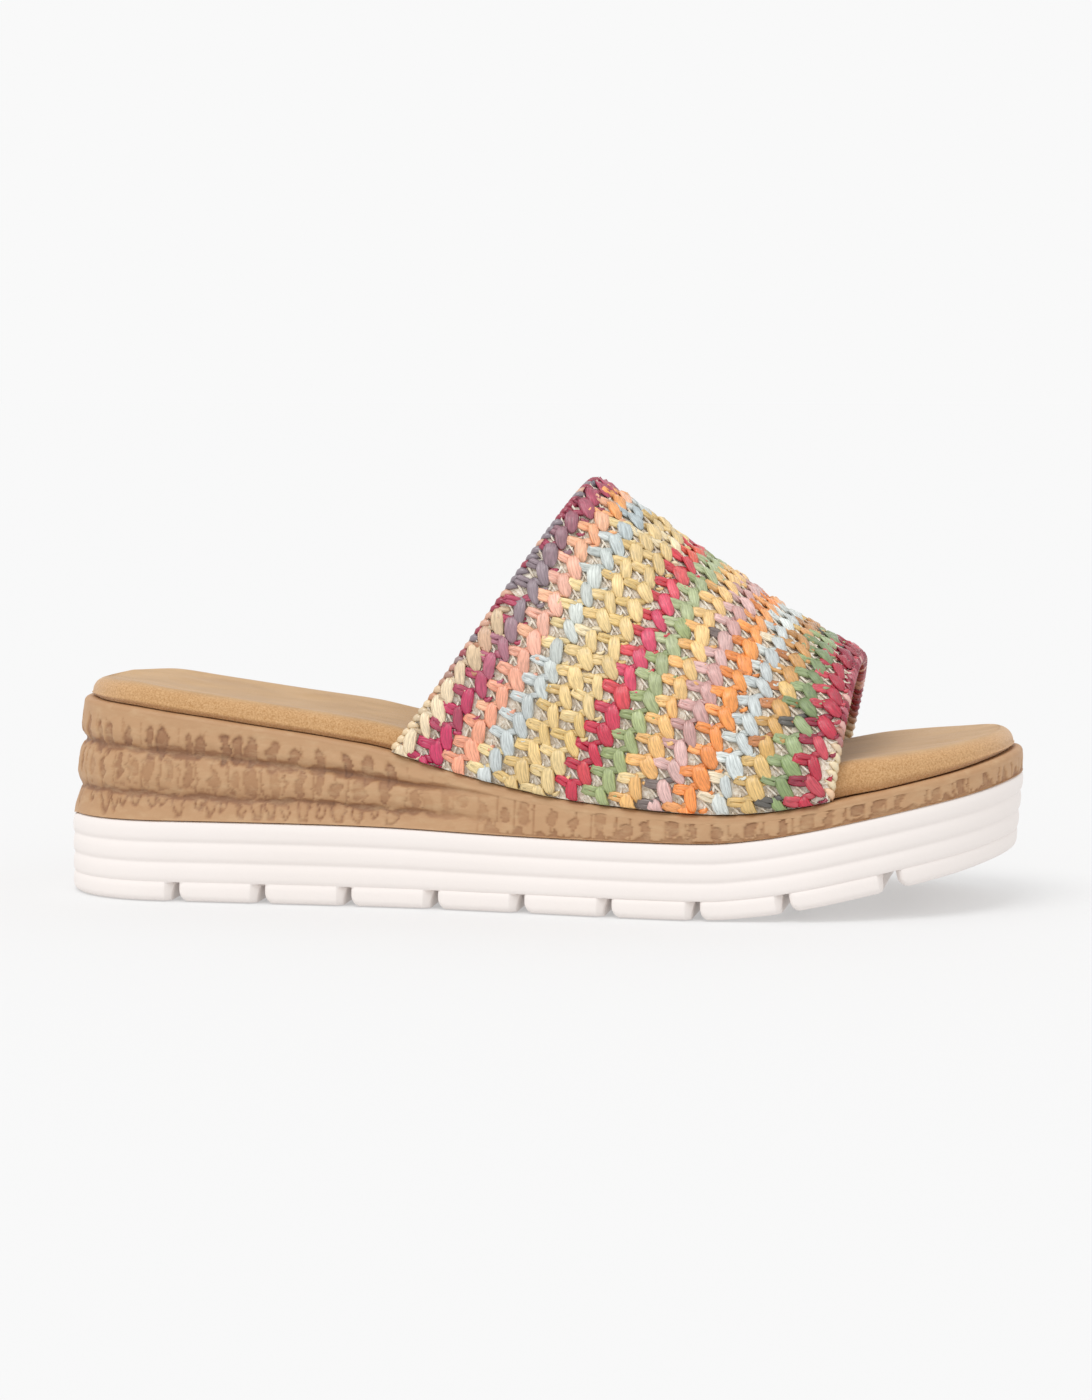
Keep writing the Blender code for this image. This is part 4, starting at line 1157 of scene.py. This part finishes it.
class SANDAL_OT_band(bpy.types.Operator):
    """Band: a linen wall that bends over the foot, columns of raffia stitches on it, thin yarns between them, and
    strands over its two edges"""

    bl_idname = "sandal.make_band"
    bl_label = "Woven band"

    def execute(self, context):
        sizes, colours = context.scene.sandal_sizes, context.scene.sandal_colours
        band = BandMap()
        self.make_cloth(band, colours)
        self.make_stitches(band, sizes, colours)
        self.make_edges(band, sizes, colours)
        return {"FINISHED"}

    def make_cloth(self, band, colours):
        """The wall: an outer face with a low ridge for each column, an inner face one wall further in, and rims."""
        columns, rows = 150, 300
        u, w = np.meshgrid(np.linspace(0, 1, columns + 1), np.linspace(-1, 1, rows + 1), indexing="ij")
        near_foot = smooth_step(1 - np.abs(w), 0, 0.03)
        ridge = 0.0003 * np.abs(np.sin(math.pi * COLUMN_COUNT * u)) * near_foot
        yarn = 0.00012 * noise(u * 160, w * 200, 0, 4)
        outer = band.look_up(band.points, u, w) + band.look_up(band.normals, u, w) * (ridge + yarn)[..., None]
        inner = band.look_up(band.points, u, w) - band.look_up(band.normals, u, w) * BAND_WALL
        inner[:, 0, 2], inner[:, -1, 2] = outer[:, 0, 2], outer[:, -1, 2]
        first = outer.shape[0] * outer.shape[1]
        quads = np.concatenate([
            grid_quads(0, columns, rows),
            grid_quads(first, columns, rows, upwards=False),
            wall_quads(columns, rows, first),
        ])
        places = np.stack([u * 110, w * 95], axis=-1).reshape(-1, 2)
        points = np.concatenate([outer.reshape(-1, 3), inner.reshape(-1, 3)])
        piece = put_mesh(
            "linen_band",
            points,
            quads,
            "woven_raffia",
            [linen_yarn(colours, "linen base cloth", 900.0), lining_cloth(colours)],
            ["woven_band"],
            60,
            cloth=np.concatenate([places, places]),
        )
        inside = np.zeros(len(piece.data.polygons), np.int32)
        inside[columns * rows : 2 * columns * rows] = 1
        piece.data.polygons.foreach_set("material_index", inside)

    def make_stitches(self, band, sizes, colours):
        """Each stitch is four strips: a tongue that runs down and forwards, a folded wing back from its top, a neck
        that joins it to the stitch above, and a curl at its end. A thin yarn follows round each stitch."""
        half, rise = sizes.tongue_width / 2, sizes.strip_rise
        t = 0.5 - 0.5 * np.cos(np.linspace(0, math.pi, 9))
        body = np.interp(t, [0, 0.1, 0.25, 0.5, 0.75, 0.92, 1], [0.42, 0.8, 1.0, 1.02, 0.92, 0.6, 0.2])
        tongue = (
            MM * 4.7 * (0.8 * t + 0.2 * t**2),
            MM * 5.9 * (1.1 * t - 0.1 * t**2),
            rise * np.interp(t, [0, 0.3, 0.6, 1], [0.62, 1.15, 1.2, 0.75]),
        )
        b = np.linspace(0, 1, 10)
        turn = math.pi * np.clip((b - 0.4) / 0.2, 0, 1)
        along = np.where(b < 0.4, b / 0.4, np.where(b > 0.6, (1 - b) / 0.4, 1 + 0.1 * np.sin(turn)))
        wing = (
            MM * (1.6 - 4.7 * along),
            MM * (1.45 + 0.9 * along - 0.66 * np.cos(turn) * (1.1 - 0.25 * along)),
            rise * (0.55 + 0.3 * np.sin(math.pi * b)),
        )
        s = np.linspace(0, 1, 6)
        neck = (MM * (-0.2 + 3.9 * s), MM * (0.7 - 1.9 * s), rise * (0.5 + 0.2 * np.sin(math.pi * s)))
        curl = (
            MM * np.interp(s, [0, 0.5, 1], [3.7, 5.4, 5.9]),
            MM * np.interp(s, [0, 0.5, 1], [6.3, 6.2, 4.7]),
            rise * (0.5 + 0.2 * np.sin(math.pi * s)),
        )
        y = np.linspace(0, 1, 13)
        yarn = (
            MM * np.interp(y, [0, 0.2, 0.5, 0.66, 0.8, 1.0], [-3.9, -1.2, 1.8, 4.1, 6.4, 5.5]),
            MM * np.interp(y, [0, 0.2, 0.5, 0.66, 0.8, 1.0], [2.3, 3.9, 5.5, 7.5, 6.4, 3.0]),
            rise * (0.4 + 0.15 * np.sin(9 * y)),
        )
        thin = np.full(len(y), sizes.yarn_width / 2)
        thin[[0, -1]] = 1e-6
        blunt = np.sin(math.pi * s) ** 0.4 + 1e-3
        slim = np.sin(math.pi * b) ** 0.3 + 1e-3
        kinds = (
            ("neck", neck, 0.95 * MM * blunt, 0.42 * MM * blunt, 6),
            ("loop", wing, 1.0 * MM * slim, 0.62 * MM * slim, 6),
            ("curl", curl, 0.65 * MM * blunt, 0.5 * MM * blunt, 5),
            ("tongue", tongue, half * body, 0.42 * rise * body, 8),
        )
        strips, yarns = [], []
        for column in range(-1, COLUMN_COUNT - 1):
            u, w = column_places(band, column, sizes.stitch_pitch)
            for number, (kind, path, width, thick, count) in enumerate(kinds):
                if column < 0 and kind == "loop":
                    continue
                points, uv = strips_on_band(band, u, w, path, width, thick, count, 40 + number, 0.38 * MM)
                dye = dye_colours(column, w, kind, 21)
                # Painted shade: each strip's colour darkens towards its ends, where it dips between stitches, and a
                # neck is darker throughout
                ends = np.sin(math.pi * np.linspace(0, 1, len(path[0])))
                shade = (0.6 if kind == "neck" else 0.72) + 0.28 * np.clip(ends * 1.6, 0, 1)
                strips.append((points, uv, dye[:, None, None] * shade[None, :, None, None]))
            points, uv = strips_on_band(band, u, w, yarn, thin, thin, 4, 50)
            yarns.append((points, uv, None))
        self.join(strips, "raffia_stitches", [raffia(colours)])
        self.join(yarns, "linen_yarns", [linen_yarn(colours, "linen thin yarn", 700.0)])

    def join(self, parts, name, materials):
        """Joins groups of strips into one piece."""
        points, uvs, dyes_and_shades, quads, start = [], [], [], [], 0
        for place, uv, dye in parts:
            pieces, rings, count = place.shape[:3]
            quads.append(strip_quads(pieces, rings, count) + start)
            start += pieces * rings * count
            points.append(place.reshape(-1, 3))
            uvs.append(np.broadcast_to(uv, (*place.shape[:3], 2)).reshape(-1, 2))
            if dye is not None:
                dyes_and_shades.append(np.broadcast_to(dye, place.shape).reshape(-1, 3))
        data = [np.concatenate(uvs)] + ([np.concatenate(dyes_and_shades)] if dyes_and_shades else [])
        found = only_used(np.concatenate(points), np.concatenate(quads), *data)
        named = {"fibre": found[2]}
        if dyes_and_shades:
            named["dye"] = found[3]
        return put_mesh(name, found[0], found[1], "woven_raffia", materials, (), 180, **named)

    def make_edges(self, band, sizes, colours):
        """Short strands that wrap over each edge of the band, from its outer face round to its inner one."""
        strips = []
        for u_edge, sign, codes in (
            (0.0, 1, ("e6cda6", "c8906c", "9a3048", "8a7d84", "d4a48c", "d6c09e")),
            (1.0, -1, ("ecd9b4", "efc9a4", "96203a", "b8606c", "e2b0a6", "8a1c34")),
        ):
            total = float(band.reach[-1][0 if sign > 0 else -1] + band.reach[1][0 if sign > 0 else -1])
            outer = float(band.reach[-1][0 if sign > 0 else -1])
            s = np.arange(0.0015, total - 0.001, sizes.rim_pitch)
            w = np.where(s < outer, -1 + s / outer, (s - outer) / (total - outer))
            turn = np.linspace(0, 1, 9)
            angle = math.pi * (turn - 0.5)
            # Out past the edge by the strand's thickness in the middle, and back on to the two faces at the ends
            out = sign * (0.0026 - 0.0030 * np.cos(angle) ** 0.7)
            depth = 0.0004 - (BAND_WALL + 0.0002) * smooth_step(turn, 0.25, 0.75)
            slant = 0.0034 * (turn - 0.5)
            base_u = np.full(len(w), u_edge)
            points = edge_strands(band, base_u, w, out, slant, depth, 0.00125, 6)
            k = np.arange(len(w))
            pick = lattice(k, 4.0, u_edge, 31)
            up = 1 - np.abs(w)
            table = np.array([linear(code) for code in codes])
            low = table[np.where(pick < 0.5, 0, np.where(pick < 0.75, 1, 5))]
            high = table[np.where(pick < 0.45, 2, np.where(pick < 0.75, 3, 4))]
            share = smooth_step(up, 0.15, 0.35)[:, None]
            dye = (low * (1 - share) + high * share)[:, None, None]
            strips.append((points, np.zeros((*points.shape[:3], 2)), dye))
        self.join(strips, "edge_strands", [raffia(colours)])


def edge_strands(band, u, w, out, slant, depth, radius, count):
    """Strands that leave the face at the band's edge: each point is the edge's own point, moved across the band by out,
    down it by slant and along the normal by depth; the section is a circle square to that path."""
    down, across, normal = (m[:, None, :] for m in band.frame_at(u, w))
    edge = band.look_up(band.points, u, w)[:, None, :]
    line = edge + across * out[None, :, None] + down * slant[None, :, None] + normal * depth[None, :, None]
    along = np.gradient(line, axis=1)
    along /= np.linalg.norm(along, axis=-1, keepdims=True)
    side = np.cross(along, down)
    side /= np.linalg.norm(side, axis=-1, keepdims=True)
    third = np.cross(side, along)
    size = radius * np.sin(math.pi * np.linspace(0, 1, len(out))) ** 0.4 + 1e-6
    angle = np.linspace(0, 2 * math.pi, count, endpoint=False)
    ring = side[:, :, None] * (0.7 * np.cos(angle))[None, None, :, None] + third[:, :, None] * np.sin(angle)[None, None, :, None]
    points = line[:, :, None] + ring * size[None, :, None, None]
    points[:, 0] = points[:, 0].mean(axis=1, keepdims=True)
    points[:, -1] = points[:, -1].mean(axis=1, keepdims=True)
    return points


def wall_quads(columns, rows, first):
    """The four rims between an outer grid and an inner one of the same size."""
    outer = np.arange((columns + 1) * (rows + 1)).reshape(columns + 1, rows + 1)
    quads = []
    for line, turned in ((outer[:, 0], False), (outer[:, -1], True), (outer[0], True), (outer[-1], False)):
        strip = np.stack([line[:-1], line[:-1] + first, line[1:] + first, line[1:]], axis=1)
        quads.append(strip[:, ::-1] if turned else strip)
    return np.concatenate(quads)


TABLE_GLOW = 0.34


class SANDAL_OT_stage(bpy.types.Operator):
    """Stage: a plain pale floor, an even white sky with one soft sun, and the camera at the photograph's angle"""

    bl_idname = "sandal.make_stage"
    bl_label = "Studio"

    def execute(self, context):
        scene = context.scene
        scene.view_settings.view_transform = "Standard"
        half = 12.0
        corners = [(-half, -half, 0), (half, -half, 0), (half, half, 0), (-half, half, 0)]
        mesh = bpy.data.meshes.new("studio_floor")
        mesh.from_pydata(corners, [], [(0, 1, 2, 3)])
        material, tree, shader = new_material("matt lit table", 0.9, Specular_IOR_Level=0.0)
        shader.inputs["Base Color"].default_value = (*scene.sandal_colours.floor, 1)
        # The table is lit from below too, so that the shadows on it stay faint
        shader.inputs["Emission Color"].default_value = (1.0, 1.0, 1.0, 1.0)
        shader.inputs["Emission Strength"].default_value = TABLE_GLOW
        mesh.materials.append(material)
        floor = bpy.data.objects.new("studio_floor", mesh)
        scene.collection.objects.link(floor)
        floor.location.z = -0.0002
        world = bpy.data.worlds.new("white studio")
        world.use_nodes = True
        sky = world.node_tree.nodes["Background"]
        sky.inputs["Color"].default_value = (*linear("f9f9f9"), 1)
        sky.inputs["Strength"].default_value = 1.0
        scene.world = world
        sun = bpy.data.lights.new("soft key light", "SUN")
        sun.energy = 1.05
        sun.angle = math.radians(38)
        lamp = bpy.data.objects.new("soft key light", sun)
        lamp.rotation_euler = Vector((0.25, 0.55, -1.0)).to_track_quat("-Z", "Y").to_euler()
        scene.collection.objects.link(lamp)
        self.aim_camera(scene)
        return {"FINISHED"}

    def aim_camera(self, scene):
        """A 100 mm lens 1.06 m away, 9 degrees round to the toe's side and 5 degrees up."""
        azimuth, elevation, distance = math.radians(9), math.radians(5), 1.0637
        target = Vector((0.0013, 0.0, 0.0531))
        back = Vector((
            math.sin(azimuth) * math.cos(elevation),
            -math.cos(azimuth) * math.cos(elevation),
            math.sin(elevation),
        ))
        data = bpy.data.cameras.new("photo camera")
        data.lens = 100
        data.sensor_width = 36
        data.clip_end = 100
        camera = bpy.data.objects.new("photo camera", data)
        camera.location = target + back * distance
        camera.rotation_euler = (-back).to_track_quat("-Z", "Y").to_euler()
        scene.collection.objects.link(camera)
        scene.camera = camera


STEPS = (SANDAL_OT_outsole, SANDAL_OT_wedge, SANDAL_OT_insole, SANDAL_OT_band, SANDAL_OT_stage)


class SANDAL_PT_panel(bpy.types.Panel):
    """Sidebar panel with the sandal's pieces, sizes and colours"""

    bl_idname = "SANDAL_PT_panel"
    bl_label = "Woven wedge sandal"
    bl_space_type = "VIEW_3D"
    bl_region_type = "UI"
    bl_category = "Sandal"

    def draw(self, context):
        for step in STEPS:
            self.layout.operator(step.bl_idname)
        for group in (context.scene.sandal_sizes, context.scene.sandal_colours):
            box = self.layout.box()
            for key in group.__annotations__:
                box.prop(group, key)


CLASSES = (SandalSizes, SandalColours, *STEPS, SANDAL_PT_panel)


def register():
    for cls in CLASSES:
        bpy.utils.register_class(cls)
    bpy.types.Scene.sandal_sizes = PointerProperty(type=SandalSizes)
    bpy.types.Scene.sandal_colours = PointerProperty(type=SandalColours)


def unregister():
    del bpy.types.Scene.sandal_colours
    del bpy.types.Scene.sandal_sizes
    for cls in reversed(CLASSES):
        bpy.utils.unregister_class(cls)


def main():
    register()
    bpy.ops.sandal.make_outsole()
    bpy.ops.sandal.make_wedge()
    bpy.ops.sandal.make_insole()
    bpy.ops.sandal.make_band()
    bpy.ops.sandal.make_stage()


if __name__ == "__main__":
    main()
